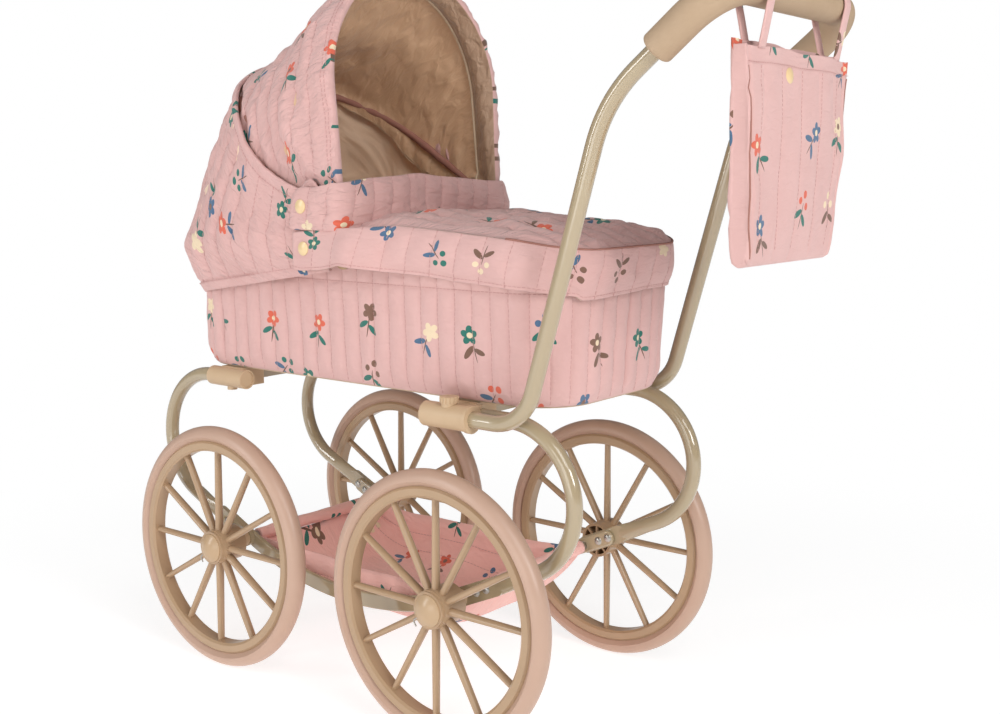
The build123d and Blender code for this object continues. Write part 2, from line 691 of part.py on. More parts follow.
grip_z = ELBOW_Z + (GRIP_START_X - ELBOW_X) * (BAR_Z - ELBOW_Z) / (BAR_X - ELBOW_X)
with BuildPart() as handle_grip:
    with BuildLine() as grip_path:
        FilletPolyline(
            (GRIP_START_X, -HANDLE_Y, grip_z),
            (BAR_X, -HANDLE_Y, BAR_Z),
            (BAR_X, HANDLE_Y, BAR_Z),
            (GRIP_START_X, HANDLE_Y, grip_z),
            radius=CORNER_R,
        )
    with BuildSketch(Plane(origin=grip_path.line @ 0, z_dir=grip_path.line % 0)):
        Circle(GRIP_D / 2)
        Circle(SOCKET_R, mode=Mode.SUBTRACT)
    sweep(path=grip_path.line)
    grip_rims = handle_grip.edges().filter_by(GeomType.CIRCLE).filter_by(
        lambda edge: abs(edge.radius - GRIP_D / 2) < FIT and edge.is_closed
    )
    fillet(grip_rims, GRIP_ROUND)
pieces["handle_grip"] = handle_grip.part


def channel_section(z, inset):
    """Bassinet outline at a height, bulging between the sewn lines, moved in by an inset."""
    outline = RectangleRounded(TUB_L, TUB_W, TUB_CORNER, mode=Mode.PRIVATE).wire()
    count = 2 * round(outline.length / CHANNEL / 2)
    spots = []
    for step in range(2 * count):
        where = step / (2 * count) * outline.length
        spot = outline.position_at(where, position_mode=PositionMode.LENGTH)
        outward = outline.tangent_at(where, position_mode=PositionMode.LENGTH).cross(UP)
        if outward.dot(spot) < 0:
            outward = -outward
        lift = CHANNEL_BULGE if step % 2 else 0
        spots.append(spot + outward * (lift - inset) + Vector(TUB_MID_X, 0))
    with BuildSketch(Plane.XY.offset(z)) as section:
        with BuildLine():
            for step in range(0, 2 * count, 2):
                ThreePointArc(spots[step], spots[step + 1], spots[(step + 2) % (2 * count)])
        make_face()
    return section.sketch


# Bassinet: quilted walls, drawn in at the foot, open at the top
bassinet_sections = [
    channel_section(TUB_Z, TUB_TAPER + TUB_FOOT),
    channel_section(TUB_Z + TUB_FOOT_H, TUB_TAPER),
    channel_section(RIM_Z, 0),
]
with BuildPart() as bassinet:
    loft(sections=bassinet_sections, ruled=True)
    with BuildSketch(Plane.XY.offset(TUB_Z + TUB_FLOOR)):
        with Locations((TUB_MID_X, 0)):
            cavity_inset = TUB_TAPER + TUB_WALL
            RectangleRounded(TUB_L - 2 * cavity_inset, TUB_W - 2 * cavity_inset, TUB_CORNER - cavity_inset)
    with BuildSketch(Plane.XY.offset(RIM_Z)):
        with Locations((TUB_MID_X, 0)):
            RectangleRounded(TUB_L - 2 * TUB_WALL, TUB_W - 2 * TUB_WALL, TUB_CORNER - TUB_WALL)
    loft(mode=Mode.SUBTRACT)
    with Locations(Location((PIVOT_X, 0, PIVOT_Z - BRACKET_DROP), (90, 0, 0))):
        Cylinder(STUD_D / 2 + FIT, TUB_W + TUB_WALL, mode=Mode.SUBTRACT)
pieces["bassinet"] = bassinet.part

# Mattress: crowned, with its sides drawn in
mattress_inset = TUB_TAPER + TUB_WALL + MATTRESS_PLAY
mattress_z = TUB_Z + TUB_FLOOR + GAP
with BuildPart() as mattress:
    mattress_levels = (
        (0, MATTRESS_DRAW),
        (MATTRESS_H / 3, 0),
        (MATTRESS_H * 2 / 3, MATTRESS_DRAW / 3),
        (MATTRESS_H, MATTRESS_CROWN),
    )
    for height, inset in mattress_levels:
        with BuildSketch(Plane.XY.offset(mattress_z + height)):
            with Locations((TUB_MID_X, 0)):
                inset += mattress_inset
                RectangleRounded(TUB_L - 2 * inset, TUB_W - 2 * inset, TUB_CORNER - mattress_inset)
    loft()
pieces["mattress"] = mattress.part

# Cover: a crowned, quilted top with a skirt on three sides and a tab at each front corner
apron_slope = math.radians(APRON_SLOPE)
apron_l = APRON_END_X - APRON_HEAD_X
roof_w = APRON_W + 2 * APRON_SKIRT_T


def roof_plane(drop):
    """Plane across the cover at its head end, lowered by a drop, facing along its slope."""
    return Plane(
        origin=(APRON_HEAD_X, 0, APRON_EDGE_Z - drop),
        x_dir=(0, 1, 0),
        z_dir=(math.cos(apron_slope), 0, -math.sin(apron_slope)),
    )


def crown(y):
    """Height of the cover's crown above its edges."""
    return APRON_CROWN * (1 - (2 * y / APRON_W) ** 2)


with BuildPart() as apron_core:
    with BuildSketch(Plane.XY.offset(APRON_HEM_Z)):
        with Locations((APRON_HEAD_X - APRON_SKIRT_T, 0)):
            core = Rectangle(apron_l, APRON_W - 2 * APRON_SKIRT_T, align=(Align.MIN, Align.CENTER))
        fillet(core.vertices().group_by(Axis.X)[-1], APRON_CORNER - APRON_SKIRT_T)
    extrude(amount=APRON_EDGE_Z - APRON_HEM_Z + APRON_CROWN)
    with BuildSketch(roof_plane(APRON_TOP_T)):
        with BuildLine():
            ThreePointArc((-APRON_W / 2, 0), (0, APRON_CROWN), (APRON_W / 2, 0))
            Polyline((APRON_W / 2, 0), (APRON_W / 2, -apron_l), (-APRON_W / 2, -apron_l), (-APRON_W / 2, 0))
        make_face()
    extrude(amount=2 * apron_l, both=True, mode=Mode.INTERSECT)

with BuildPart() as apron:
    with BuildSketch(Plane.XY.offset(APRON_HEM_Z)):
        with Locations((APRON_HEAD_X, 0)):
            plan = Rectangle(apron_l, APRON_W, align=(Align.MIN, Align.CENTER))
        fillet(plan.vertices().group_by(Axis.X)[-1], APRON_CORNER)
    extrude(amount=APRON_EDGE_Z - APRON_HEM_Z + 2 * APRON_CROWN)
    with BuildSketch(roof_plane(0)):
        with BuildLine():
            seams = [roof_w * (step / APRON_CHANNELS - 1 / 2) for step in range(APRON_CHANNELS + 1)]
            for near, far in zip(seams, seams[1:]):
                ridge = (near + far) / 2
                ThreePointArc((near, crown(near)), (ridge, crown(ridge) + APRON_BULGE), (far, crown(far)))
            edge_z = crown(roof_w / 2)
            Polyline(
                (roof_w / 2, edge_z), (roof_w / 2, -apron_l), (-roof_w / 2, -apron_l), (-roof_w / 2, edge_z)
            )
        make_face()
    extrude(amount=2 * apron_l, both=True, mode=Mode.INTERSECT)
    add(apron_core.part, mode=Mode.SUBTRACT)
    for side in SIDES.values():
        with BuildSketch(Plane.XY.offset(TAB_LOW_Z)):
            with BuildLine():
                tab_y = side * FLAP_Y
                skirt_y = side * (APRON_W / 2 - APRON_SKIRT_T / 2)
                root_t = side * APRON_SKIRT_T / 4
                Polyline(
                    (TAB_ROOT_X, skirt_y - root_t),
                    (TAB_BEND_X, tab_y),
                    (TAB_END_X, tab_y),
                    (TAB_END_X, tab_y + side * TAB_T),
                    (TAB_BEND_X, tab_y + side * TAB_T),
                    (TAB_ROOT_X, skirt_y + root_t),
                    close=True,
                )
            make_face()
    extrude(amount=TAB_TOP_Z - TAB_LOW_Z)
pieces["apron"] = apron.part

# Upright flap, wrapped round the front of the hood's mouth
with BuildPart() as wind_flap:
    with BuildSketch(Plane.XY.offset(FLAP_Z)):
        with Locations((FLAP_X, 0)):
            band = Rectangle(FLAP_X - FLAP_BACK_X, 2 * (FLAP_Y + FLAP_T), align=(Align.MAX, Align.CENTER))
        fillet(band.vertices().group_by(Axis.X)[-1], FLAP_CORNER)
    extrude(amount=FLAP_H)
    with BuildSketch(Plane.XY.offset(FLAP_Z)):
        with Locations((FLAP_X - FLAP_T, 0)):
            hollow = Rectangle(FLAP_X - FLAP_BACK_X, 2 * FLAP_Y, align=(Align.MAX, Align.CENTER))
        fillet(hollow.vertices().group_by(Axis.X)[-1], FLAP_CORNER - FLAP_T)
    extrude(amount=FLAP_H, mode=Mode.SUBTRACT)
pieces["wind_flap"] = wind_flap.part


def lean_plane(x, z, lean):
    """Plane across the hood through a point, leaning back from upright, its Y axis up the arch."""
    turn = math.radians(lean)
    return Plane(origin=(x, 0, z), x_dir=(0, 1, 0), z_dir=(math.cos(turn), 0, math.sin(turn)))


def arch_section(plane, out, top, flat, low):
    """Cross section of the hood's fabric: an upside-down U with round shoulders."""
    half_w = TUB_W / 2 + out
    with BuildSketch(plane) as section:
        with BuildLine():
            for inset in (0, HOOD_T):
                w, t, r = half_w - inset, top - inset, half_w - flat - inset
                shoulder = r * (1 - math.sqrt(1 / 2))
                Line((-w, low), (-w, t - r))
                ThreePointArc((-w, t - r), (-w + shoulder, t - shoulder), (-w + r, t))
                Line((-w + r, t), (w - r, t))
                ThreePointArc((w - r, t), (w - shoulder, t - shoulder), (w, t - r))
                Line((w, t - r), (w, low))
            Line((-half_w, low), (-half_w + HOOD_T, low))
            Line((half_w, low), (half_w - HOOD_T, low))
        make_face()
    return section.sketch


# Hood: two padded panels that meet at a seam near the middle bow
mouth_plane = lean_plane(PIVOT_X + MOUTH_AHEAD, PIVOT_Z, MOUTH_LEAN)
front_plane = lean_plane(PIVOT_X, PIVOT_Z, FRONT_LEAN)
puff_plane = lean_plane(PIVOT_X, PIVOT_Z - PUFF_DROP, PUFF_LEAN)
before_seam = lean_plane(PIVOT_X, PIVOT_Z - SEAM_DROP, SEAM_LEAN - HOOD_SPLIT)
behind_seam = lean_plane(PIVOT_X, PIVOT_Z - SEAM_DROP, SEAM_LEAN + HOOD_SPLIT)
rear_plane = lean_plane(PIVOT_X, PIVOT_Z - REAR_DROP, REAR_LEAN)
bulge_plane = lean_plane(PIVOT_X, PIVOT_Z - BULGE_DROP, BULGE_LEAN)
hem_plane = lean_plane(PIVOT_X, PIVOT_Z - HEM_DROP, HEM_LEAN)
mid_plane = lean_plane(PIVOT_X, PIVOT_Z, MID_LEAN)
front_panel_sections = [
    arch_section(mouth_plane, MOUTH_OUT, MOUTH_TOP, MOUTH_FLAT, MOUTH_LOW),
    arch_section(front_plane, FRONT_OUT, FRONT_TOP, FRONT_FLAT, FRONT_LOW),
    arch_section(puff_plane, PUFF_OUT, PUFF_TOP, PUFF_FLAT, PUFF_LOW),
    arch_section(before_seam, SEAM_OUT, SEAM_TOP, SEAM_FLAT, SEAM_LOW),
]
rear_panel_sections = [
    arch_section(behind_seam, SEAM_OUT, SEAM_TOP, SEAM_FLAT, SEAM_LOW),
    arch_section(rear_plane, REAR_OUT, REAR_TOP, REAR_FLAT, REAR_LOW),
    arch_section(bulge_plane, BULGE_OUT, BULGE_TOP, BULGE_FLAT, BULGE_LOW),
    arch_section(hem_plane, HEM_OUT, HEM_TOP, HEM_FLAT, HEM_LOW),
]
with BuildPart() as hood_front_panel:
    loft(sections=front_panel_sections)
with BuildPart() as hood_rear_panel:
    loft(sections=rear_panel_sections)
pieces["hood_front_panel"] = hood_front_panel.part
pieces["hood_rear_panel"] = hood_rear_panel.part


def bow(plane, half_w, top, corner):
    """Wire bow with an eye at each foot, turning about the hood's pivot."""
    with BuildPart() as wire:
        with BuildLine(plane) as bow_path:
            FilletPolyline(
                (-half_w, BOW_FOOT),
                (-half_w, top),
                (half_w, top),
                (half_w, BOW_FOOT),
                radius=corner,
            )
        with BuildSketch(Plane(origin=bow_path.line @ 0, z_dir=bow_path.line % 0)):
            Circle(BOW_D / 2)
        sweep(path=bow_path.line)
        eye_places = [Location((PIVOT_X, side * half_w, PIVOT_Z), (90, 0, 0)) for side in SIDES.values()]
        with Locations(*eye_places):
            Cylinder(EYE_D / 2, EYE_T)
        with Locations(*eye_places):
            Cylinder(STUD_D / 2 + RUN, 2 * EYE_T, mode=Mode.SUBTRACT)
    return wire.part


pieces["front_bow"] = bow(front_plane, FRONT_BOW_Y, FRONT_TOP - BOW_INSET, FRONT_BOW_Y - FRONT_FLAT)
pieces["middle_bow"] = bow(mid_plane, MID_BOW_Y, MID_TOP, MID_BOW_Y - MID_FLAT)

# Brackets riveted to the bassinet's walls, each with the pivot stud of the bows
rivet_in = TUB_W / 2 - TUB_TAPER - TUB_WALL - STUD_IN
bracket_in = TUB_W / 2 + CHANNEL_BULGE + FIT
bracket_out = MID_BOW_Y - EYE_T / 2 - FIT
stud_out = FRONT_BOW_Y + EYE_T / 2 + FIT
with BuildPart() as hood_stud:
    for reach_in, reach_out, z, diameter in (
        (rivet_in, bracket_out, PIVOT_Z - BRACKET_DROP, STUD_D),
        (bracket_in, stud_out, PIVOT_Z, STUD_D),
        (stud_out, stud_out + STUD_HEAD_T, PIVOT_Z, STUD_HEAD_D),
    ):
        with BuildSketch(Plane.XZ.offset(reach_in)):
            with Locations((PIVOT_X, z)):
                Circle(diameter / 2)
        extrude(amount=reach_out - reach_in)
    with BuildSketch(Plane.XZ.offset(bracket_in)):
        with Locations((PIVOT_X, PIVOT_Z - BRACKET_DROP / 2)):
            SlotCenterToCenter(BRACKET_DROP, BRACKET_W, rotation=90)
    extrude(amount=bracket_out - bracket_in)
for side_name, side in SIDES.items():
    pieces[f"hood_stud_{side_name}"] = to_side(hood_stud.part, side)

# Basket: a cloth sling with a sleeve round each axle
sleeve_r = AXLE_D / 2 + BASKET_PLAY + BASKET_SKIN
low_z = AXLE_Z - sleeve_r
with BuildPart() as basket:
    with BuildSketch(Plane.XZ):
        with BuildLine():
            for lift in (0, BASKET_SHEET):
                ThreePointArc(
                    (-HALF_BASE, low_z + lift), (0, low_z - BASKET_SAG + lift), (HALF_BASE, low_z + lift)
                )
            Line((-HALF_BASE, low_z), (-HALF_BASE, low_z + BASKET_SHEET))
            Line((HALF_BASE, low_z), (HALF_BASE, low_z + BASKET_SHEET))
        make_face()
    extrude(amount=BASKET_W / 2, both=True)
    for side in SIDES.values():
        with BuildSketch(Plane.XZ.offset(-side * (BASKET_W / 2 - BASKET_SHEET))):
            with BuildLine():
                ThreePointArc((-HALF_BASE, low_z), (0, low_z - BASKET_SAG), (HALF_BASE, low_z))
                ThreePointArc((-HALF_BASE, AXLE_Z), (0, AXLE_Z - BASKET_HEM), (HALF_BASE, AXLE_Z))
                Line((-HALF_BASE, low_z), (-HALF_BASE, AXLE_Z))
                Line((HALF_BASE, low_z), (HALF_BASE, AXLE_Z))
            make_face()
        extrude(amount=-side * BASKET_SHEET)
    axle_lines = [Location((end * HALF_BASE, 0, AXLE_Z), (90, 0, 0)) for end in ENDS.values()]
    with Locations(*axle_lines):
        Cylinder(sleeve_r, BASKET_W)
    with Locations(*axle_lines):
        Cylinder(AXLE_D / 2 + BASKET_PLAY, 2 * BASKET_W, mode=Mode.SUBTRACT)
pieces["basket"] = basket.part


def bag_section(z, left, right, depth, inset):
    """Outline of the bag at a height."""
    with BuildSketch(Plane.XY.offset(z)) as section:
        with Locations((BAR_X, (left + right) / 2)):
            RectangleRounded(depth - 2 * inset, right - left - 2 * inset, BAG_CORNER - inset)
    return section.sketch


# Bag: a flat pouch, open at the rim, hung from two straps round the grip
bag_outside = [
    bag_section(BAG_Z - BAG_H, BAG_LOW_LEFT, BAG_LOW_RIGHT, BAG_T, 0),
    bag_section(BAG_Z, BAG_TOP_LEFT, BAG_TOP_RIGHT, BAG_RIM_T, 0),
]
bag_inside = [
    bag_section(BAG_Z - BAG_H + BAG_WALL, BAG_LOW_LEFT, BAG_LOW_RIGHT, BAG_T, BAG_WALL),
    bag_section(BAG_Z + FIT, BAG_TOP_LEFT, BAG_TOP_RIGHT, BAG_RIM_T, BAG_WALL),
]
with BuildPart() as bag:
    loft(sections=bag_outside)
    loft(sections=bag_inside, mode=Mode.SUBTRACT)
pieces["bag"] = bag.part

strap_r = GRIP_D / 2 + GAP
with BuildPart() as bag_straps:
    for strap_y in STRAPS_Y:
        with BuildSketch(Plane.XZ.offset(-strap_y)) as loop:
            for radius, half_w, mode in (
                (strap_r + STRAP_T, BAG_RIM_T / 2, Mode.ADD),
                (strap_r, BAG_RIM_T / 2 - STRAP_T, Mode.SUBTRACT),
            ):
                reach = math.hypot(half_w, BAG_DROP)
                lean = math.acos(radius / reach) + math.atan2(half_w, BAG_DROP)
                touch = (radius * math.sin(lean), -radius * math.cos(lean))
                with BuildLine() as tear:
                    Line((BAR_X - touch[0], BAR_Z + touch[1]), (BAR_X - half_w, BAG_Z))
                    Line((BAR_X - half_w, BAG_Z), (BAR_X + half_w, BAG_Z))
                    Line((BAR_X + half_w, BAG_Z), (BAR_X + touch[0], BAR_Z + touch[1]))
                    ThreePointArc(
                        (BAR_X + touch[0], BAR_Z + touch[1]),
                        (BAR_X, BAR_Z + radius),
                        (BAR_X - touch[0], BAR_Z + touch[1]),
                    )
                make_face(mode=mode)
        extrude(amount=STRAP_W / 2, both=True)
pieces["bag_straps"] = bag_straps.part

# Press studs, modelled along Z on their backs
with BuildPart() as snap:
    with BuildSketch(Plane.XZ):
        with BuildLine():
            TangentArc((0, SNAP_H), (SNAP_D / 2, SNAP_H / 3), tangent=(1, 0))
            Polyline((SNAP_D / 2, SNAP_H / 3), (SNAP_D / 2, 0), (0, 0), (0, SNAP_H))
        make_face()
    revolve(axis=Axis.Z)
flap_snap = snap.part.moved(Location((SNAP_X, -FLAP_Y - FLAP_T, RIM_Z + FLAP_SNAP_RISE), (90, 0, 0)))
apron_snap = snap.part.moved(Location((SNAP_X, -FLAP_Y - TAB_T, RIM_Z - APRON_SNAP_HANG), (90, 0, 0)))
pieces["flap_snaps"] = both_sides(flap_snap)
pieces["apron_snaps"] = both_sides(apron_snap)
bag_face = BAG_RIM_T / 2 + (BAG_T - BAG_RIM_T) / 2 * (BAG_SNAP_DROP + SNAP_D / 2) / BAG_H
bag_snap_place = Location((BAR_X + bag_face, BAG_SNAP_Y, BAG_Z - BAG_SNAP_DROP), (0, 90, 0))
pieces["bag_snap"] = snap.part.moved(bag_snap_place)

# Shift everything so that the origin lies under the middle of the whole pram
whole = Compound(children=[Compound(piece.solids()) for piece in pieces.values()]).bounding_box()
shift = -(whole.min.X + whole.max.X) / 2
print(f"X of the middle between the axles: {shift:.3f}")
print(f"overall size: {whole.size.X:.2f} x {whole.size.Y:.2f} x {whole.size.Z:.2f}")
os.makedirs("parts", exist_ok=True)
for name, piece in pieces.items():
    node = piece.moved(Location((shift, 0, 0)))
    node.label = name
    export_step(node, f"parts/{name}.step")
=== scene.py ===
"""Doll pram: quilted cotton, satin lining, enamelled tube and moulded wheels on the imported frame."""
import math
import bpy
import numpy as np
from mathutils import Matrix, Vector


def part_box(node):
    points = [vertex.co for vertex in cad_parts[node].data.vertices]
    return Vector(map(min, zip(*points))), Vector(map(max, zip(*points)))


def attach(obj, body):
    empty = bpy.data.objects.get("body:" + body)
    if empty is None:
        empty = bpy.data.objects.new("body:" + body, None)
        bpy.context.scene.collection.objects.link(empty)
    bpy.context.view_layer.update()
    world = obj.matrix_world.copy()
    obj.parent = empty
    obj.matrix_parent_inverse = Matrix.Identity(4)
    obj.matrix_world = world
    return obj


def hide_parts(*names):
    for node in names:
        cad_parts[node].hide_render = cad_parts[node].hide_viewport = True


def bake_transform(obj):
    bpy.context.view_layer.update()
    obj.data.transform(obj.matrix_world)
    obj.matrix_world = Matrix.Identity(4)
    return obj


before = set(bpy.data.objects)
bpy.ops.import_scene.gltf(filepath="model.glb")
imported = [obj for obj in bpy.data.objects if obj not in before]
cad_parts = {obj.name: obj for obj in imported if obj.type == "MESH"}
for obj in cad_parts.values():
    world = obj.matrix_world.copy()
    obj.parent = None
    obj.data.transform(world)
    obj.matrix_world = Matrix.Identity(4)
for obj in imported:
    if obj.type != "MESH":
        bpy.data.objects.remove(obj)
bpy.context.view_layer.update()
scene = bpy.context.scene
scene.view_settings.view_transform = "Standard"

MM = 0.001
CHASSIS, HOOD_MIDDLE, HOOD_FRONT, BAG_BODY = "chassis", "hood_middle", "hood_front", "bag_body"


def node_middle(name):
    """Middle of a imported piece's box, in millimetres."""
    low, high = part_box(name)
    return [(a + b) / 2 / MM for a, b in zip(low, high)]


# Every size below is in millimetres from the floor point midway between the axles
MID_X = (node_middle("axle_front")[0] + node_middle("axle_rear")[0]) / 2


def place(x, y, z):
    """Point of the pram in metres, from millimetres about the middle between the axles."""
    return ((x + MID_X) * MM, y * MM, z * MM)


# Materials


def linear(hex_colour):
    """Linear RGBA of an sRGB hex colour."""
    channels = [int(hex_colour[i:i + 2], 16) / 255 for i in (1, 3, 5)]
    return (*[c / 12.92 if c <= 0.04045 else ((c + 0.055) / 1.055) ** 2.4 for c in channels], 1.0)


def put(tree, kind, inputs=None, **settings):
    """Add a node with its settings, its input values and its links."""
    node = tree.nodes.new(kind)
    for name, value in settings.items():
        setattr(node, name, value)
    for name, value in (inputs or {}).items():
        if isinstance(value, bpy.types.NodeSocket):
            tree.links.new(value, node.inputs[name])
        else:
            node.inputs[name].default_value = value
    return node


def finish_of(name, colour, **sockets):
    """New material with a Principled surface. Returns the material, its tree and its shader."""
    material = bpy.data.materials.new(name)
    material.use_nodes = True
    tree = material.node_tree
    shader = tree.nodes["Principled BSDF"]
    shader.inputs["Base Color"].default_value = linear(colour)
    for socket, value in sockets.items():
        shader.inputs[socket.replace("_", " ")].default_value = value
    return material, tree, shader


def math_of(tree, operation, first, second=0.0):
    """Output of a Math node."""
    return put(tree, "ShaderNodeMath", {0: first, 1: second}, operation=operation).outputs[0]


def vector_of(tree, operation, first, second=(0, 0, 0)):
    """Output of a Vector Math node: a number for a length, or else a vector."""
    node = put(tree, "ShaderNodeVectorMath", {0: first, 1: second}, operation=operation)
    return node.outputs["Value" if operation == "LENGTH" else "Vector"]


def mix_of(tree, factor, first, second):
    """First colour where the factor is 0, second where it is 1."""
    return put(tree, "ShaderNodeMix", {0: factor, 6: first, 7: second}, data_type="RGBA").outputs[2]


def noise_of(tree, coords, size_mm, detail):
    """Noise whose lumps have a size."""
    return put(
        tree, "ShaderNodeTexNoise", {"Vector": coords, "Scale": 1 / (size_mm * MM), "Detail": detail}
    ).outputs["Fac"]


def tint(tree, coords, colour, other, size_mm):
    """Colour that drifts between two near shades over a size."""
    return mix_of(tree, noise_of(tree, coords, size_mm, 3.0), linear(colour), linear(other))


def bump(tree, shader, height, depth_mm, strength):
    """Bend a shader's normal by a height times a depth."""
    normal = put(
        tree, "ShaderNodeBump", {"Height": height, "Distance": depth_mm * MM, "Strength": strength}
    )
    tree.links.new(normal.outputs[0], shader.inputs["Normal"])


BAND_AT_SCALE_1 = 0.314159       # width of one band of a Wave node whose scale is 1


def weave(tree, coords, thread_mm):
    """Height of a plain weave whose threads lie this far apart."""
    bands = []
    for direction in ("X", "Y"):
        wave = put(
            tree,
            "ShaderNodeTexWave",
            {"Vector": coords, "Scale": BAND_AT_SCALE_1 / (thread_mm * MM), "Distortion": 1.2, "Detail": 1.0},
            bands_direction=direction,
        )
        bands.append(wave.outputs["Fac"])
    return math_of(tree, "MAXIMUM", *bands)


def wrinkles(tree, coords, across_mm, along_mm, depth_mm):
    """Height in millimetres of small wrinkles in a cloth, of a size across and along its sewn lines."""
    spread = vector_of(tree, "MULTIPLY", coords, (1 / (across_mm * MM), 1 / (along_mm * MM), 0))
    noise = put(
        tree, "ShaderNodeTexNoise", {"Vector": spread, "Scale": 1.0, "Detail": 2.5, "Distortion": 0.5}
    ).outputs["Fac"]
    return math_of(tree, "MULTIPLY", noise, depth_mm)


def woven(tree, shader, coords, thread_mm, thread_depth_mm, folds):
    """Bump of a plain weave, and of wrinkles of a size across, along and deep."""
    threads = math_of(tree, "MULTIPLY", weave(tree, coords, thread_mm), thread_depth_mm)
    bump(tree, shader, math_of(tree, "ADD", threads, wrinkles(tree, coords, *folds)), 1.0, 1.0)


def ramp_of(tree, factor, colours):
    """Steps of colour, each as wide as the next."""
    node = put(tree, "ShaderNodeValToRGB", {"Fac": factor})
    ramp = node.color_ramp
    ramp.interpolation = "CONSTANT"
    while len(ramp.elements) < len(colours):
        ramp.elements.new(0.5)
    for index, colour in enumerate(colours):
        ramp.elements[index].position = index / len(colours)
        ramp.elements[index].color = linear(colour)
    return node.outputs["Color"]


def ovals(tree, local, *shapes):
    """1 inside any oval of a motif, 0 outside. Each has a middle, a turn and half sizes, in millimetres."""
    inside = 0.0
    for (x, y), turn, (half_long, half_wide) in shapes:
        mapped = put(
            tree,
            "ShaderNodeMapping",
            {
                "Vector": local,
                "Location": (x * MM, y * MM, 0),
                "Rotation": (0, 0, math.radians(turn)),
                "Scale": (half_long * MM, half_wide * MM, 1),
            },
            vector_type="TEXTURE",
        ).outputs[0]
        within = math_of(tree, "LESS_THAN", vector_of(tree, "LENGTH", mapped), 1.0)
        inside = math_of(tree, "MAXIMUM", within, inside)
    return inside


MOTIF_GAP, MOTIF_SCALE = 66, 1.12        # spacing and size of the printed sprigs
TWIG_FROM = 0.58                         # share of the sprigs that are blossoms, the rest are twigs
RED, CREAM, BROWN, BLUE, GREEN = "#D7664F", "#E7D2B2", "#7E5F50", "#4F6C8A", "#2F7064"
STEM_BROWN, LEAF_BROWN, LEAF_BLUE = "#6F5445", "#775A4B", "#4E6C88"


def printed_cotton(name, colour, other, depth_mm):
    """Cotton percale, printed with scattered garden sprigs: soft, almost without gloss, faint weave."""
    material, tree, shader = finish_of(
        name, colour, Roughness=0.82, Sheen_Weight=0.25, Sheen_Roughness=0.5, Specular_IOR_Level=0.25
    )
    coords = put(tree, "ShaderNodeTexCoord").outputs["UV"]
    flat = vector_of(tree, "MULTIPLY", coords, (1, 1, 0))
    cells = put(
        tree,
        "ShaderNodeTexVoronoi",
        {"Vector": flat, "Scale": 1 / (MOTIF_GAP * MM), "Randomness": 0.55},
        voronoi_dimensions="2D",
    )
    dice = put(tree, "ShaderNodeSeparateColor", {0: cells.outputs["Color"]}).outputs
    away = vector_of(tree, "SUBTRACT", flat, cells.outputs["Position"])
    turn = math_of(tree, "MULTIPLY", math_of(tree, "SUBTRACT", dice[0], 0.5), 1.9)
    turned = put(
        tree, "ShaderNodeVectorRotate", {"Vector": away, "Angle": turn}, rotation_type="Z_AXIS"
    ).outputs[0]
    local = vector_of(tree, "MULTIPLY", turned, (1 / MOTIF_SCALE,) * 3)
    # blossom: five round petals about a centre, on a stem with two leaves
    bloom = vector_of(tree, "SUBTRACT", local, (0, 6 * MM, 0))
    axes = put(tree, "ShaderNodeSeparateXYZ", {0: bloom}).outputs
    reach = vector_of(tree, "LENGTH", bloom)
    angle = math_of(tree, "ARCTAN2", axes[1], axes[0])
    lobes = math_of(tree, "ABSOLUTE", math_of(tree, "COSINE", math_of(tree, "MULTIPLY", angle, 2.5)))
    edge = math_of(tree, "ADD", math_of(tree, "MULTIPLY", lobes, 3.4 * MM), 4.4 * MM)
    petals = math_of(tree, "LESS_THAN", reach, edge)
    eye = math_of(tree, "LESS_THAN", reach, 2.3 * MM)
    stem = ovals(tree, local, ((0.3, -6.5), 92, (9.5, 0.55)))
    leaves = ovals(tree, local, ((-5.4, -6.2), 38, (6.0, 2.3)), ((5.0, -8.6), 142, (5.4, 2.1)))
    # twig: three berries in place of the petals
    berries = ovals(
        tree, local, ((0.4, 9.0), 0, (2.9, 2.9)), ((-5.4, 3.4), 0, (2.6, 2.6)), ((5.6, 1.6), 0, (2.7, 2.7))
    )
    is_twig = math_of(tree, "GREATER_THAN", dice[1], TWIG_FROM)
    is_bloom = math_of(tree, "SUBTRACT", 1.0, is_twig)
    head = math_of(
        tree, "ADD", math_of(tree, "MULTIPLY", is_twig, berries), math_of(tree, "MULTIPLY", is_bloom, petals)
    )
    heart = math_of(tree, "MULTIPLY", is_bloom, eye)
    leaf_colour = ramp_of(tree, dice[0], [GREEN, LEAF_BROWN, GREEN, LEAF_BLUE])
    petal_colour = ramp_of(tree, dice[2], [RED, CREAM, BROWN, BLUE, RED, GREEN])
    heart_colour = ramp_of(tree, dice[1], [CREAM, BROWN])
    dyed = mix_of(tree, stem, tint(tree, coords, colour, other, 30), linear(STEM_BROWN))
    for mask, dye in ((leaves, leaf_colour), (head, petal_colour), (heart, heart_colour)):
        dyed = mix_of(tree, mask, dyed, dye)
    tree.links.new(dyed, shader.inputs["Base Color"])
    # threads drawn at 0.9 mm, coarser than percale, so that they show
    woven(tree, shader, coords, 0.9, 0.11, (15, 6.5, depth_mm))
    return material


def plain_cloth(name, colour, other, thread_mm, folds=(20, 20, 0.3), **sockets):
    """Woven cloth of one colour with a faint weave, and wrinkles of a size across, along and deep."""
    material, tree, shader = finish_of(name, colour, **sockets)
    coords = put(tree, "ShaderNodeTexCoord").outputs["UV"]
    tree.links.new(tint(tree, coords, colour, other, 22), shader.inputs["Base Color"])
    woven(tree, shader, coords, thread_mm, 0.09, folds)
    return material


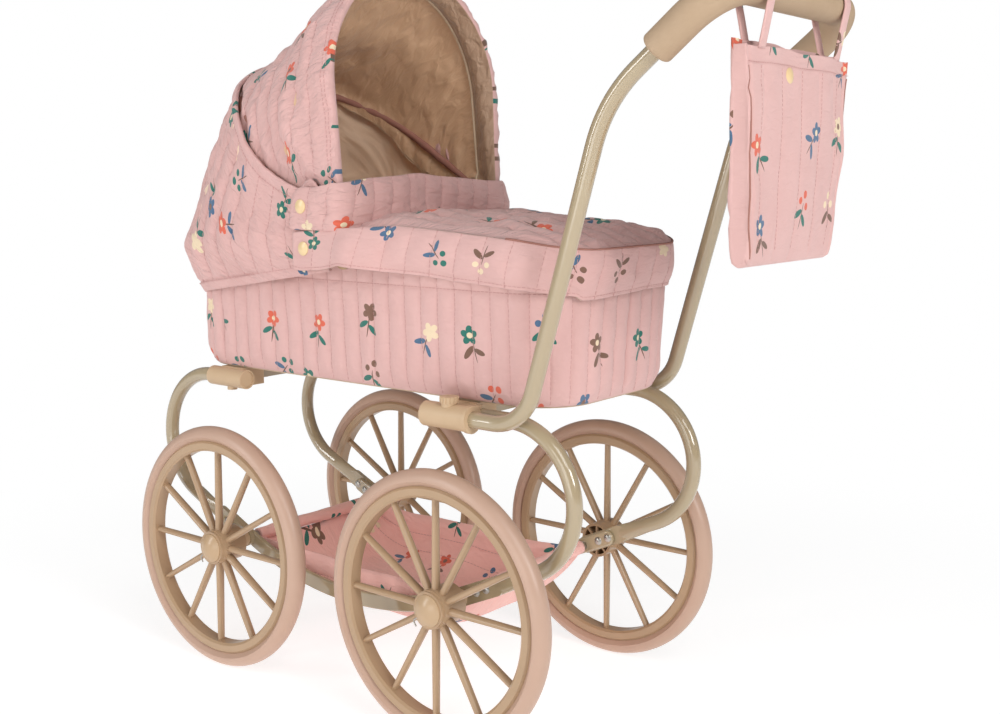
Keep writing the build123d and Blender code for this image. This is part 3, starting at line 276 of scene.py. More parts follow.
def moulded(name, colour, other, size_mm, grain_mm, depth_mm, strength=0.35, **sockets):
    """Moulded, foamed or enamelled surface: colour that drifts a little, and a fine skin."""
    material, tree, shader = finish_of(name, colour, **sockets)
    coords = put(tree, "ShaderNodeTexCoord").outputs["Object"]
    tree.links.new(tint(tree, coords, colour, other, size_mm), shader.inputs["Base Color"])
    bump(tree, shader, noise_of(tree, coords, grain_mm, 2.0), depth_mm, strength)
    return material


# cotton percale, plain over a filling
cotton = printed_cotton("printed_cotton_percale", "#DAB2AD", "#D2A7A2", 1.1)
# the same cotton where quilting draws it together: more wrinkled
quilt = printed_cotton("quilted_cotton_percale", "#DAB1AC", "#CFA39E", 3.4)
# single layer of cotton in the basket, paler: painted light for the basket that hangs in shade under the
# bassinet
basket_cotton_painted_light = printed_cotton("printed_basket_cotton", "#F7C3BA", "#EEB6AD", 2.4)
# satin lining: smooth and glossy in the folds
satin = plain_cloth(
    "lining_satin", "#DDB793", "#CFA782", 0.7, (24, 15, 4.5),
    Roughness=0.36, Sheen_Weight=0.2, Anisotropic=0.3,
)
# the same satin on the visor's inside: creased, and darker as painted shade of the hood's mouth
visor_satin_painted_shade = plain_cloth(
    "visor_satin_painted_shade", "#B99A80", "#A58469", 0.7, (9, 16, 4.0), Roughness=0.3, Sheen_Weight=0.2
)
# sateen behind the doll's head: duller, and paler as painted light in the deep shade of the hood
sateen_painted_light = plain_cloth(
    "lining_sateen", "#FCE0C4", "#F2D2B2", 0.8, (70, 34, 7.0), Roughness=0.5, Sheen_Weight=0.2
)
# cotton of the middle bow's casing, darkened as painted shade of the hood; the same painted shade draws the
# dark lines on the apron and the bag
cotton_painted_shade = plain_cloth("cotton_painted_shade", "#A9786C", "#946558", 0.9, (12, 9, 1.2), Roughness=0.85)
# cotton binding tape on cut edges: matt
binding = plain_cloth("binding_tape", "#D9C4A8", "#CDB596", 0.8, Roughness=0.8, Sheen_Weight=0.2)
# spun sewing thread, a shade deeper than the cotton
thread = plain_cloth("sewing_thread", "#C99995", "#BE8C88", 0.4, Roughness=0.6)
# polypropylene wheel moulding: dull sheen with faint flow marks
wheel_plastic = moulded("wheel_polypropylene", "#B5987A", "#AB8D6E", 40, 1.5, 0.05, Roughness=0.28)
# skinned foam rubber tyre: a dull shine
tyre_foam = moulded("tyre_foam_rubber", "#C2A28F", "#B99884", 30, 0.9, 0.05, Roughness=0.36)
# polypropylene hub cap: paler than the wheel
cap_plastic = moulded("cap_polypropylene", "#BFA382", "#B69877", 25, 1.2, 0.04, Roughness=0.26)
# enamelled steel tube: smooth, glossy, very slight orange peel
enamel = moulded("khaki_enamel", "#AC9B7D", "#A49274", 60, 6.0, 0.01, 0.2, Roughness=0.15, Coat_Weight=1.0)
# nylon sleeves and knobs: finely etched
connector_plastic = moulded("connector_nylon", "#CAAE8D", "#C0A381", 20, 0.8, 0.06, Roughness=0.45)
# closed cell foam grip: matt, with fine pores
grip_foam = moulded("grip_foam", "#B49B80", "#AA9074", 15, 0.9, 0.25, 0.6, Roughness=0.7)
# lacquered press studs: smooth and pale
snap_finish = moulded(
    "press_stud_lacquer", "#E6CB9C", "#DDBF8E", 12, 0.7, 0.02, Roughness=0.3, Coat_Weight=0.3
)
# drawn steel of the axles, clips, bows and rivets
steel = moulded("drawn_steel", "#BDBAB4", "#AAA7A2", 8, 0.6, 0.03, Roughness=0.3, Metallic=1.0)
# cotton ticking of the mattress: dull
ticking = moulded("mattress_ticking", "#E0D0BA", "#D6C4AC", 20, 1.0, 0.15, Roughness=0.9)
# fibreboard under the bassinet: raw and dull
board_finish = moulded("fibreboard", "#CBB39A", "#BFA68B", 14, 0.8, 0.1, Roughness=0.85)

NODE_FINISHES = {
    "wheel": wheel_plastic, "tyre": tyre_foam, "hub_cap": cap_plastic, "axle_clip": steel,
    "axle_front": steel, "axle_rear": steel, "axle_spacers": connector_plastic,
    "frame_tube": enamel, "lower_rail": enamel, "frame_rivets": steel, "connector": connector_plastic,
    "clamp_knob": connector_plastic, "cross_bar": enamel, "handle_tube": enamel, "handle_grip": grip_foam,
    "base_board": board_finish, "board_screws": steel, "hood_stud": connector_plastic,
    "front_bow": steel, "middle_bow": steel, "flap_snaps": snap_finish, "apron_snaps": snap_finish,
    "bag_snap": snap_finish,
}
for node_name, node_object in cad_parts.items():
    for prefix, finish in NODE_FINISHES.items():
        if node_name.startswith(prefix):
            node_object.data.materials.clear()
            node_object.data.materials.append(finish)


# Cloth


def crinkle(a, b, size, seed):
    """Smooth random height between -1 and 1 over two arrays of millimetres, with folds of a size."""
    table = np.random.default_rng(seed).uniform(-1, 1, (64, 64))
    x, y = np.asarray(a, float) / size, np.asarray(b, float) / size
    i, j = np.floor(x).astype(int), np.floor(y).astype(int)
    fx, fy = x - i, y - j
    fx, fy = fx * fx * (3 - 2 * fx), fy * fy * (3 - 2 * fy)
    low = table[i % 64, j % 64] * (1 - fx) + table[(i + 1) % 64, j % 64] * fx
    high = table[i % 64, (j + 1) % 64] * (1 - fx) + table[(i + 1) % 64, (j + 1) % 64] * fx
    return low * (1 - fy) + high * fy


def ease(t):
    """Smooth step from 0 to 1 while t goes from 0 to 1."""
    t = np.clip(t, 0, 1)
    return t * t * (3 - 2 * t)


CHANNEL_STEPS = np.array([0, 0.05, 0.14, 0.3, 0.5, 0.7, 0.86, 0.95])


def channel_stations(count):
    """Places along a quilted run, closer together near each sewn line, counted in channels."""
    runs = (np.arange(count)[:, None] + CHANNEL_STEPS).ravel()
    return np.append(runs, count)


def channel_height(t, bulge):
    """Height of the filling between sewn lines at whole numbers."""
    return bulge * np.abs(np.sin(np.pi * t)) ** 0.7


def pucker(t, along, pitch, size, seed):
    """Small ripples that the stitching draws across each sewn line."""
    line = np.round(t)
    away = np.abs(t - line) * pitch
    return size * np.exp(-away / 4.5) * crinkle(along, line * 37.7, 5.5, seed)


def grid_normals(points, wrap, centre):
    """Unit normals of a grid, away from a centre."""
    if wrap:
        du = np.roll(points, -1, 0) - np.roll(points, 1, 0)
    else:
        du = np.gradient(points, axis=0)
    normals = np.cross(du, np.gradient(points, axis=1))
    normals /= np.maximum(np.linalg.norm(normals, axis=2, keepdims=True), 1e-9)
    if np.sum(normals * (points - np.asarray(centre))) < 0:
        normals = -normals
    return normals


def set_out(name, data):
    """New object of the scene, at the origin."""
    made = bpy.data.objects.new(name, data)
    scene.collection.objects.link(made)
    return made


def baked(piece):
    """Plain mesh of a piece with its modifiers applied."""
    return bpy.data.meshes.new_from_object(piece.evaluated_get(bpy.context.evaluated_depsgraph_get()))


def spots_of(mesh):
    """Places of a mesh's points, in metres."""
    spots = np.zeros(3 * len(mesh.vertices))
    mesh.vertices.foreach_get("co", spots)
    return spots.reshape(-1, 3)


def new_piece(name, points, faces, finishes, face_finish, corner_uv):
    """Mesh object from millimetre points, with a finish index for each face and a UV for each corner."""
    points = np.asarray(points, float)
    mesh = bpy.data.meshes.new(name)
    mesh.from_pydata([place(*p) for p in points], [], [list(f) for f in faces])
    for finish in finishes:
        mesh.materials.append(finish)
    mesh.polygons.foreach_set("material_index", np.asarray(face_finish, np.int32))
    mesh.polygons.foreach_set("use_smooth", np.ones(len(faces), bool))
    layer = mesh.uv_layers.new(name="cloth")
    layer.data.foreach_set("uv", (np.asarray(corner_uv, float) * MM).ravel())
    mesh.update()
    return set_out(name, mesh)


def dress(piece, body=None, stands_for=None):
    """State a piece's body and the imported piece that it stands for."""
    if body:
        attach(piece, body)
    if stands_for:
        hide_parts(stands_for)


def shell(name, face, back, uv, finishes, wrap=False):
    """Closed cloth between two grids: finishes for its face, its back and its cut edges."""
    nu, nv = face.shape[:2]
    columns = nu if wrap else nu - 1
    i, j = (a.ravel() for a in np.meshgrid(np.arange(columns), np.arange(nv - 1), indexing="ij"))
    corners = ((i, j), (i + 1, j), (i + 1, j + 1), (i, j + 1))
    over = np.stack([(a % nu) * nv + b for a, b in corners], 1)
    over_uv = np.stack([uv[a, b] for a, b in corners], 1)
    back_start = nu * nv
    under = over[:, ::-1] + back_start
    sides, side_uv = [], []
    for row in (0, nv - 1):
        a = np.arange(columns)
        first, second = (a % nu) * nv + row, ((a + 1) % nu) * nv + row
        quad = np.stack([first, first + back_start, second + back_start, second], 1)
        quad_uv = np.stack([uv[a, row], uv[a, row], uv[a + 1, row], uv[a + 1, row]], 1)
        sides.append(quad if row == 0 else quad[:, ::-1])
        side_uv.append(quad_uv if row == 0 else quad_uv[:, ::-1])
    if not wrap:
        for column in (0, nu - 1):
            b = np.arange(nv - 1)
            first, second = column * nv + b, column * nv + b + 1
            quad = np.stack([first, second, second + back_start, first + back_start], 1)
            quad_uv = np.stack([uv[column, b], uv[column, b + 1], uv[column, b + 1], uv[column, b]], 1)
            sides.append(quad if column == 0 else quad[:, ::-1])
            side_uv.append(quad_uv if column == 0 else quad_uv[:, ::-1])
    sides, side_uv = np.concatenate(sides), np.concatenate(side_uv)
    faces = np.concatenate([over, under, sides])
    corner_uv = np.concatenate([over_uv, over_uv[:, ::-1], side_uv])
    finish = np.repeat([0, 1, 2], [len(over), len(under), len(sides)])
    points = np.concatenate([face.reshape(-1, 3), back.reshape(-1, 3)])
    a, b, c, d = (points[faces[:, k]] for k in range(4))
    volume = np.sum(np.cross(a, b) * c) + np.sum(np.cross(a, c) * d)
    if volume < 0:
        faces, corner_uv = faces[:, ::-1], corner_uv[:, ::-1]
    return new_piece(name, points, faces, finishes, finish, corner_uv)


def lay_uv(u, v, shift=(0, 0)):
    """Flat cloth places of a grid, in millimetres, moved so that pieces don't repeat the print."""
    a, b = np.meshgrid(np.asarray(u, float), np.asarray(v, float), indexing="ij")
    return np.stack([a + shift[0], b + shift[1]], 2)


def round_rect(s, length, width, radius):
    """Points and outward normals round a rectangle with round corners, from its left side's rear corner."""
    a, b, quarter = length - 2 * radius, width - 2 * radius, math.pi * radius / 2
    s = np.asarray(s, float) % (2 * (a + b) + 4 * quarter)
    points, normals = np.zeros((len(s), 2)), np.zeros((len(s), 2))
    start = 0.0
    centres = ((a / 2, -b / 2), (a / 2, b / 2), (-a / 2, b / 2), (-a / 2, -b / 2))
    for k, (centre, straight) in enumerate(zip(centres, (a, b, a, b))):
        turn = math.radians(90 * k - 90)
        n, t = np.array([math.cos(turn), math.sin(turn)]), np.array([-math.sin(turn), math.cos(turn)])
        on = (s >= start) & (s <= start + straight)
        points[on] = np.array(centre) + radius * n - np.outer(straight - (s[on] - start), t)
        normals[on] = n
        start += straight
        on = (s > start) & (s < start + quarter)
        bend = turn + (s[on] - start) / radius
        normals[on] = np.stack([np.cos(bend), np.sin(bend)], 1)
        points[on] = np.array(centre) + radius * normals[on]
        start += quarter
    return points, normals


def run_along(points):
    """Distance of each point of a line from its start."""
    return np.concatenate([[0], np.cumsum(np.linalg.norm(np.diff(points, axis=0), axis=1))])


def along_line(points, run, at):
    """Points of a line at places along it."""
    return np.stack([np.interp(at, run, column) for column in points.T], -1)


def resample(path, stations):
    """Points along a plan path at distances from its start, with unit normals to its right."""
    run = run_along(path)
    tangent = along_line(path, run, stations + 1.5) - along_line(path, run, stations - 1.5)
    tangent /= np.linalg.norm(tangent, axis=-1, keepdims=True)
    return along_line(path, run, stations), np.stack([tangent[..., 1], -tangent[..., 0]], -1)


def slanted(t, pitch, v, slant):
    """Distances along a band whose sewn lines lean by a slant from edge to edge, upright at its ends."""
    length = t[-1] * pitch
    from_end = np.minimum(t * pitch, length - t * pitch)
    return (t * pitch)[:, None] + np.outer(np.clip(from_end / 40, 0, 1), slant * (v - 0.5))


def moved_out(plan, normal, out, z):
    """Points of a band at distances outside a plan line."""
    return np.stack([plan[..., 0] + normal[..., 0] * out, plan[..., 1] + normal[..., 1] * out, z], -1)


def mirrored(half):
    """Whole plan path from its left half, which ends on the middle line."""
    half = np.concatenate([np.asarray(part, float) for part in half])
    return np.concatenate([half, half[-2::-1] * np.array([1, -1])])


def raised(grid, normal, height):
    """Points of a band moved out by a height, so that stitches lie on the cloth."""
    return grid + np.append(normal, np.zeros((*normal.shape[:-1], 1)), -1) * height


def sewn_lines(grid):
    """Lines of a quilted grid that lie between its channels."""
    return list(grid[len(CHANNEL_STEPS):-1:len(CHANNEL_STEPS)])


def tube_of(name, rings, finish):
    """Tube through rings of points (along, round, 3), with flat ends."""
    along, count = rings.shape[:2]
    points = rings.reshape(-1, 3)
    run = run_along(rings.mean(1))
    girth = np.linspace(0, 1, count + 1) * np.linalg.norm(rings[0, 0] - rings[0, count // 2]) * 3.1
    faces, uvs = [], []
    for i in range(along - 1):
        for j in range(count):
            corners = ((i, j), (i + 1, j), (i + 1, j + 1), (i, j + 1))
            faces.append(tuple(a * count + b % count for a, b in corners))
            uvs.append([(run[a], girth[b]) for a, b in corners])
    for i, order in ((0, 1), (along - 1, -1)):
        faces.append(tuple(range(i * count, (i + 1) * count))[::order])
        uvs.append([(run[i], girth[j]) for j in range(count)])
    first = points[list(faces[0])]
    outward = np.cross(first[1] - first[0], first[2] - first[0])
    if np.dot(outward, first[0] - rings[0].mean(0)) < 0:
        faces, uvs = [face[::-1] for face in faces], [uv[::-1] for uv in uvs]
    return new_piece(name, points, faces, (finish,), np.zeros(len(faces)), sum(uvs, []))


def round_tube(name, path, radius, finish, seed):
    """Soft round casing along a path of points."""
    tangent = np.gradient(path, axis=0)
    tangent /= np.linalg.norm(tangent, axis=1, keepdims=True)
    across = np.cross(tangent, np.array([1.0, 0, 0.3]))
    across /= np.linalg.norm(across, axis=1, keepdims=True)
    up = np.cross(across, tangent)
    run = np.arange(len(path)) * 5.0
    rings = []
    for a in np.linspace(0, 2 * np.pi, 15)[:-1]:
        swell = radius * (1 + 0.12 * crinkle(run, np.full(len(path), a * 6), 14, seed))
        rings.append(path + (across * math.cos(a) + up * math.sin(a)) * swell[:, None])
    return tube_of(name, np.stack(rings, 1), finish)


def stitch_tree():
    """Geometry Nodes: short thread stitches along every edge of a mesh of lines."""
    tree = bpy.data.node_groups.new("stitch_row", "GeometryNodeTree")
    tree.interface.new_socket("Seams", in_out="INPUT", socket_type="NodeSocketGeometry")
    sizes = (("Stitch pitch", 4 * MM), ("Stitch length", 2.8 * MM), ("Thread radius", 0.3 * MM))
    for label, default in sizes:
        socket = tree.interface.new_socket(label, in_out="INPUT", socket_type="NodeSocketFloat")
        socket.default_value = default
    tree.interface.new_socket("Thread", in_out="INPUT", socket_type="NodeSocketMaterial")
    tree.interface.new_socket("Stitches", in_out="OUTPUT", socket_type="NodeSocketGeometry")
    given = put(tree, "NodeGroupInput").outputs
    curve = put(tree, "GeometryNodeMeshToCurve", {"Mesh": given["Seams"]}).outputs[0]
    spaced = put(
        tree, "GeometryNodeResampleCurve", {"Curve": curve, "Length": given["Stitch pitch"]}, mode="LENGTH"
    ).outputs[0]
    stitch = put(
        tree,
        "GeometryNodeMeshCylinder",
        {"Vertices": 5, "Radius": given["Thread radius"], "Depth": given["Stitch length"]},
    ).outputs["Mesh"]
    tangent = put(tree, "GeometryNodeInputTangent").outputs[0]
    turned = put(tree, "FunctionNodeAlignRotationToVector", {"Vector": tangent}, axis="Z").outputs[0]
    placed = put(
        tree, "GeometryNodeInstanceOnPoints", {"Points": spaced, "Instance": stitch, "Rotation": turned}
    ).outputs[0]
    real = put(tree, "GeometryNodeRealizeInstances", {"Geometry": placed}).outputs[0]
    dyed = put(tree, "GeometryNodeSetMaterial", {"Geometry": real, "Material": given["Thread"]}).outputs[0]
    put(tree, "NodeGroupOutput", {"Stitches": dyed})
    return tree


stitches = stitch_tree()


def sew(name, lines, pitch=4.2, stitch=2.9, radius=0.26):
    """Rows of thread stitches along lines of millimetre points."""
    points, edges = [], []
    for line in lines:
        edges += [(len(points) + k, len(points) + k + 1) for k in range(len(line) - 1)]
        points += [place(*p) for p in line]
    mesh = bpy.data.meshes.new(name + "_line")
    mesh.from_pydata(points, edges, [])
    guide = set_out(name + "_line", mesh)
    modifier = guide.modifiers.new("stitches", "NODES")
    modifier.node_group = stitches
    values = {
        "Stitch pitch": pitch * MM, "Stitch length": stitch * MM, "Thread radius": radius * MM,
        "Thread": thread,
    }
    for item in stitches.interface.items_tree:
        if item.name in values:
            modifier[item.identifier] = values[item.name]
    result = baked(guide)
    bpy.data.objects.remove(guide)
    return set_out(name, result)


# Bassinet cover: vertical sewn channels, drawn under at the foot, lined inside
TUB_X, TUB_L, TUB_W, TUB_R = 8, 486, 210, 62
TUB_PERIMETER = 2 * (TUB_L + TUB_W) - (8 - 2 * math.pi) * TUB_R
TUB_CHANNELS = 66
TUB_FOOT_Z, TUB_FLOOR_Z, TUB_TOP_Z = 297.4, 302.6, 424       # board, inside floor and rim
BAND_Z = 391             # seam of the top band
PANEL_SEAM = 26          # sewn line where the cover's two panels are joined, at the foot end


def make_bassinet():
    """Cover with its sewn channels, and the floor lining inside."""
    pitch = TUB_PERIMETER / TUB_CHANNELS
    t = channel_stations(TUB_CHANNELS)
    outline, normal = round_rect(t[:-1] * pitch, TUB_L, TUB_W, TUB_R)
    outline[:, 0] += TUB_X
    outline, normal = outline[:, None], normal[:, None]
    # the first rings turn under, over the board's edge
    heights = np.array(
        [297.3, 297.3, 296.6, 295.5, 295.2, 296.0, 299.0, 302.5, 307, 312, 319, 327, 335, 343, 351, 359, 367,
         374, 381, 386.5, 389.6, BAND_Z, 392.6, 396, 402, 409, 416, 421, TUB_TOP_Z]
    )
    band_row = int(np.argmin(np.abs(heights - BAND_Z)))
    inset = np.interp(heights, [299, 302.5, 307, 312, TUB_TOP_Z], [9.0, 7.9, 7.1, 6.5, 0.4])
    inset[:6] = 20, 13.6, 12.7, 12.2, 11.4, 10.4
    z, run = np.meshgrid(heights, t[:-1])
    fullness = ease((z - TUB_FOOT_Z) / 12) * (1 - 0.75 * np.exp(-(((z - BAND_Z) / 2.5) ** 2)))
    joined = np.exp(-(((run - PANEL_SEAM) * pitch / 1.8) ** 2))
    out = channel_height(run, 2.6) * fullness + pucker(run, z, pitch, 0.9, 3) * fullness
    out += crinkle(run * pitch, z, 46, 5) * 1.5 * fullness + crinkle(run * pitch, z, 15, 6) * 0.7 * fullness
    out -= inset + 2.2 * joined * fullness
    face = moved_out(outline, normal, out, z + crinkle(run * pitch, z, 60, 8) * 0.5 * fullness)
    deep = np.interp(heights, [TUB_FOOT_Z, 303, TUB_TOP_Z], [27, 15.5, 8.0])
    deep[:6] = 27, 26, 25, 24, 23, 22
    deep = deep + crinkle(run * pitch, z, 24, 7) * 0.7
    back = moved_out(outline, normal, -deep, np.maximum(z, TUB_FLOOR_Z) - np.clip(z - TUB_TOP_Z + 1, 0, 1))
    uv = lay_uv(t * pitch, heights, (11, -273))
    cover = shell("bassinet_cover", face, back, uv, (cotton, satin, cotton), wrap=True)
    dress(cover, CHASSIS, stands_for="bassinet")
    seams = raised(face, normal, 0.1)[::len(CHANNEL_STEPS), 6:]
    band = raised(face, normal, 0.25)[:, band_row]
    rows = [*seams, np.concatenate([band, band[:1]])]
    dress(sew("bassinet_stitches", rows, radius=0.28), CHASSIS)
    # floor lining
    share = np.linspace(0, 1, 97)
    outline, _ = round_rect(share[:-1] * TUB_PERIMETER, TUB_L, TUB_W, TUB_R)
    rings = []
    for inset_mm, rise_mm in ((14, 0), (60, 0.2), (98, 0.2)):
        shrink = np.array([1 - 2 * inset_mm / TUB_L, 1 - 2 * inset_mm / TUB_W])
        ring = outline * shrink + np.array([TUB_X, 0])
        rings.append(np.append(ring, np.full((len(ring), 1), TUB_FLOOR_Z + rise_mm), 1))
    top = np.stack(rings, 1)
    uv = lay_uv(share * TUB_PERIMETER, (0, 46, 84))
    lining = shell("bassinet_floor", top, top - np.array([0, 0, 3.5]), uv, (satin,) * 3, wrap=True)
    dress(lining, CHASSIS)


def swollen(name, points, faces, voxel_mm, pressure, most_mm):
    """Filled pad: remeshed, blown up as cloth for twenty frames, and held near its start."""
    no_uv = np.zeros((sum(map(len, faces)), 2))
    start = new_piece(name + "_start", points, faces, (), np.zeros(len(faces)), no_uv)
    remesh = start.modifiers.new("remesh", "REMESH")
    remesh.mode = "VOXEL"
    remesh.voxel_size = voxel_mm * MM
    even = baked(start)
    bpy.data.objects.remove(start)
    pad = set_out(name, even)
    cloth = pad.modifiers.new("cloth", "CLOTH")
    cloth.settings.use_pressure = True
    cloth.settings.uniform_pressure_force = pressure
    cloth.settings.effector_weights.gravity = 0
    for frame_number in range(1, 21):
        scene.frame_set(frame_number)
    blown = baked(pad)
    before = spots_of(even)
    move = spots_of(blown) - before
    reach = np.linalg.norm(move, axis=1, keepdims=True)
    move *= np.minimum(1, most_mm * MM / np.maximum(reach, 1e-9))
    even.vertices.foreach_set("co", (before + move).ravel())
    pad.modifiers.remove(cloth)
    bpy.data.meshes.remove(blown)
    scene.frame_set(1)
    even.polygons.foreach_set("use_smooth", np.ones(len(even.polygons), bool))
    even.update()
    return pad


def make_mattress():
    """Loose pad, swollen by a cloth run and pressed flat on the bassinet's floor."""
    t = np.linspace(0, 1, 121)[:-1]
    outline, normal = round_rect(t * TUB_PERIMETER, TUB_L, TUB_W, TUB_R)
    # rings at heights, each drawn in from the bassinet's outline
    rings = [
        np.stack([*(outline - normal * inset + np.array([TUB_X, 0])).T, np.full(len(t), z)], 1)
        for z, inset in ((306, 30), (306.5, 25), (311, 22.5), (319, 22.5), (324, 25), (325.5, 31))
    ]
    count = len(t)
    faces = [
        (k * count + j, k * count + (j + 1) % count, (k + 1) * count + (j + 1) % count, (k + 1) * count + j)
        for k in range(len(rings) - 1) for j in range(count)
    ]
    faces += [tuple(range(count))[::-1], tuple(range((len(rings) - 1) * count, len(rings) * count))]
    pad = swollen("mattress_pad", np.concatenate(rings), faces, voxel_mm=6, pressure=4, most_mm=5.5)
    spots = spots_of(pad.data)
    spots[:, 2] = np.maximum(spots[:, 2], (TUB_FLOOR_Z + 0.8) * MM)
    pad.data.vertices.foreach_set("co", spots.ravel())
    pad.data.materials.append(ticking)
    dress(pad, CHASSIS, stands_for="mattress")


# Cover over the foot end
APRON_HEAD, APRON_SIDE, APRON_END, APRON_R = 24.5, 106.5, 257.0, 63.5
APRON_CHANNELS = 9
SKIRT_SIDE, SKIRT_END, SKIRT_R, TAB_FLARE = 108.6, 258.2, 65.2, 15.2
SKIRT_CHANNELS = 28
STUD_FACE = 124.0        # the cloth under the press studs, from the middle line
SNAP_X, FLAP_SNAP_Z, APRON_SNAP_Z = -26, 460, 421      # middles of the press studs


def apron_edge_z(x, y):
    """Height of the cover's top seam."""
    side = np.interp(x, [-40, 20, 79, 137, 191, 252], [436, 441, 444.5, 441, 437, 433])
    return side - 5.5 * ease((x - 200) / 52) * (1 - 0.25 * ease((np.abs(y) - 50) / 50))


def near_stud(x, z, stud_z):
    """1 close to a press stud, where the cloth is pressed flat, and 0 away from it."""
    return np.exp(-((((x - SNAP_X) / 11) ** 2 + ((z - stud_z) / 11) ** 2) ** 2))


def make_apron_top():
    """Crowned top of the cover. Returns the lines of its stitches."""
    pitch = 2 * APRON_SIDE / APRON_CHANNELS
    t = channel_stations(APRON_CHANNELS)
    y = t * pitch - APRON_SIDE
    y[0], y[-1] = -APRON_SIDE, APRON_SIDE
    bend = np.clip((np.abs(y) - (APRON_SIDE - APRON_R)) / APRON_R, 0, 1)
    end = APRON_END - APRON_R + APRON_R * np.sqrt(1 - bend * bend)
    f = np.concatenate([[0, 0.008], np.linspace(0.025, 0.97, 62), [0.985, 0.995, 1.0]])
    x = APRON_HEAD + np.outer(end - APRON_HEAD, f)
    yy = np.repeat(y[:, None], len(f), 1)
    edge = np.minimum(ease((APRON_SIDE - np.abs(yy)) / 9), ease((end[:, None] - x) / 9))
    crown = 8.0 * (1 - (yy / APRON_SIDE) ** 2) * ease((APRON_END + 12 - x) / 60)
    run = np.repeat(t[:, None], len(f), 1)
    lift = channel_height(run, 3.6) + pucker(run, x, pitch, 1.8, 21)
    lift += crinkle(x, yy, 34, 22) * 2.4 + crinkle(x, yy, 13, 23) * 1.7 + 1.6
    z = apron_edge_z(x, yy) + crown + lift * edge
    face = np.stack([x, yy, z], 2)
    back = face - np.array([0, 0, 1]) * (2.0 + 3.4 * edge)[:, :, None]
    top = shell("apron_top", face, back, lay_uv(y, f * 228, (140, 33)), (quilt, satin, cotton))
    dress(top, CHASSIS, stands_for="apron")
    return sewn_lines(face + np.array([0, 0, 0.15]))


def make_apron_skirt():
    """Skirt of the cover, from tab to tab round the foot end. Returns the lines of its stitches."""
    corner_x, corner_y = SKIRT_END - SKIRT_R, SKIRT_R - SKIRT_SIDE
    x_side = np.arange(-40, 193, 3.0)
    arc = np.radians(np.linspace(-90, 0, 34))
    path = mirrored((
        np.stack([x_side, -SKIRT_SIDE - TAB_FLARE * ease((76 - x_side) / 52)], 1),
        np.stack([corner_x + SKIRT_R * np.cos(arc), corner_y + SKIRT_R * np.sin(arc)], 1),
        np.stack([np.full(28, SKIRT_END), np.linspace(-41, 0, 28)], 1),
    ))
    pitch = run_along(path)[-1] / SKIRT_CHANNELS
    t = channel_stations(SKIRT_CHANNELS)
    v = np.array([0, 0.03, 0.09, 0.18, 0.28, 0.38, 0.48, 0.58, 0.68, 0.78, 0.87, 0.93, 0.97, 1.0])
    along = slanted(t, pitch, v, -9)
    plan, normal = resample(path, along)
    x, run = plan[..., 0], np.repeat(t[:, None], len(v), 1)
    top_z = apron_edge_z(x, plan[..., 1])
    hem = np.interp(
        x, [-40, -30, -4, 23, 48, 109, 144, 217, 250], [400, 398.5, 402, 408, 406, 401, 398, 395.5, 391]
    )
    hem = np.where(x > 250, 387.5, hem) + crinkle(along, along * 0, 52, 31) * 2.2
    z = top_z + (hem - top_z) * v
    # filled channels, a hem that hangs loose on the sides, and a foot end that is drawn in
    swell = (np.sin(np.pi * np.clip(v * 1.08, 0, 1)) ** 0.7)[None, :]
    loose = 1.5 + 6.5 * np.exp(-(((x - 40) / 40) ** 2)) * (x < 200)
    loose += 2.2 * np.maximum(crinkle(along, along * 0, 46, 33), -0.3)
    foot = ease((x - 205) / 45)
    out = (channel_height(run, 2.2) + 4.0 - 2.4 * foot) * swell + loose * (1 - foot) * v ** 1.6
    out += (pucker(run, z, pitch, 1.0, 34) + crinkle(along, z, 22, 35) * 1.1) * swell
    out += crinkle(along, z, 12, 36) * 0.9 * swell - 3.4 * foot * v
    out *= 0.25 + 0.75 * ease((x + 2) / 40)
    out = np.where(x < 30, np.maximum(out, 0.9), out)
    pressed = near_stud(x, z, APRON_SNAP_Z)
    out = out * (1 - pressed) + (STUD_FACE - np.abs(plan[..., 1])) * pressed
    face = moved_out(plan, normal, out, z)
    back = moved_out(plan, normal, out - 1.6 - 1.2 * swell, z)
    skirt = shell("apron_skirt", face, back, lay_uv(t * pitch, v * 50, (60, 400)), (cotton, satin, binding))
    dress(skirt, CHASSIS)
    # painted shadow: a dark tube along the seam between top and skirt round the foot end, where the top's
    # edge throws a shadow line
    seam = round_tube("apron_seam_shadow", face[x[:, 0] > 196, 0] + np.array([0, 0, 0.4]), 0.9, cotton_painted_shade, 37)
    dress(seam, CHASSIS)
    proud = raised(face, normal, 0.15)
    return sewn_lines(proud[:, 1:-1]) + [proud[:, -3]]


def make_apron():
    """Cover over the foot end: its top, its skirt and the stitches of both."""
    rows = make_apron_top() + make_apron_skirt()
    dress(sew("apron_stitches", rows), CHASSIS)


# Upright flap round the hood's mouth
FLAP_LOW, FLAP_SIDE, FLAP_FRONT, FLAP_BEND = 438.5, 124.8, 22.5, 17
FLAP_CHANNELS = 15
FLAP_CORNER = 20.0       # round upper corners of its ends


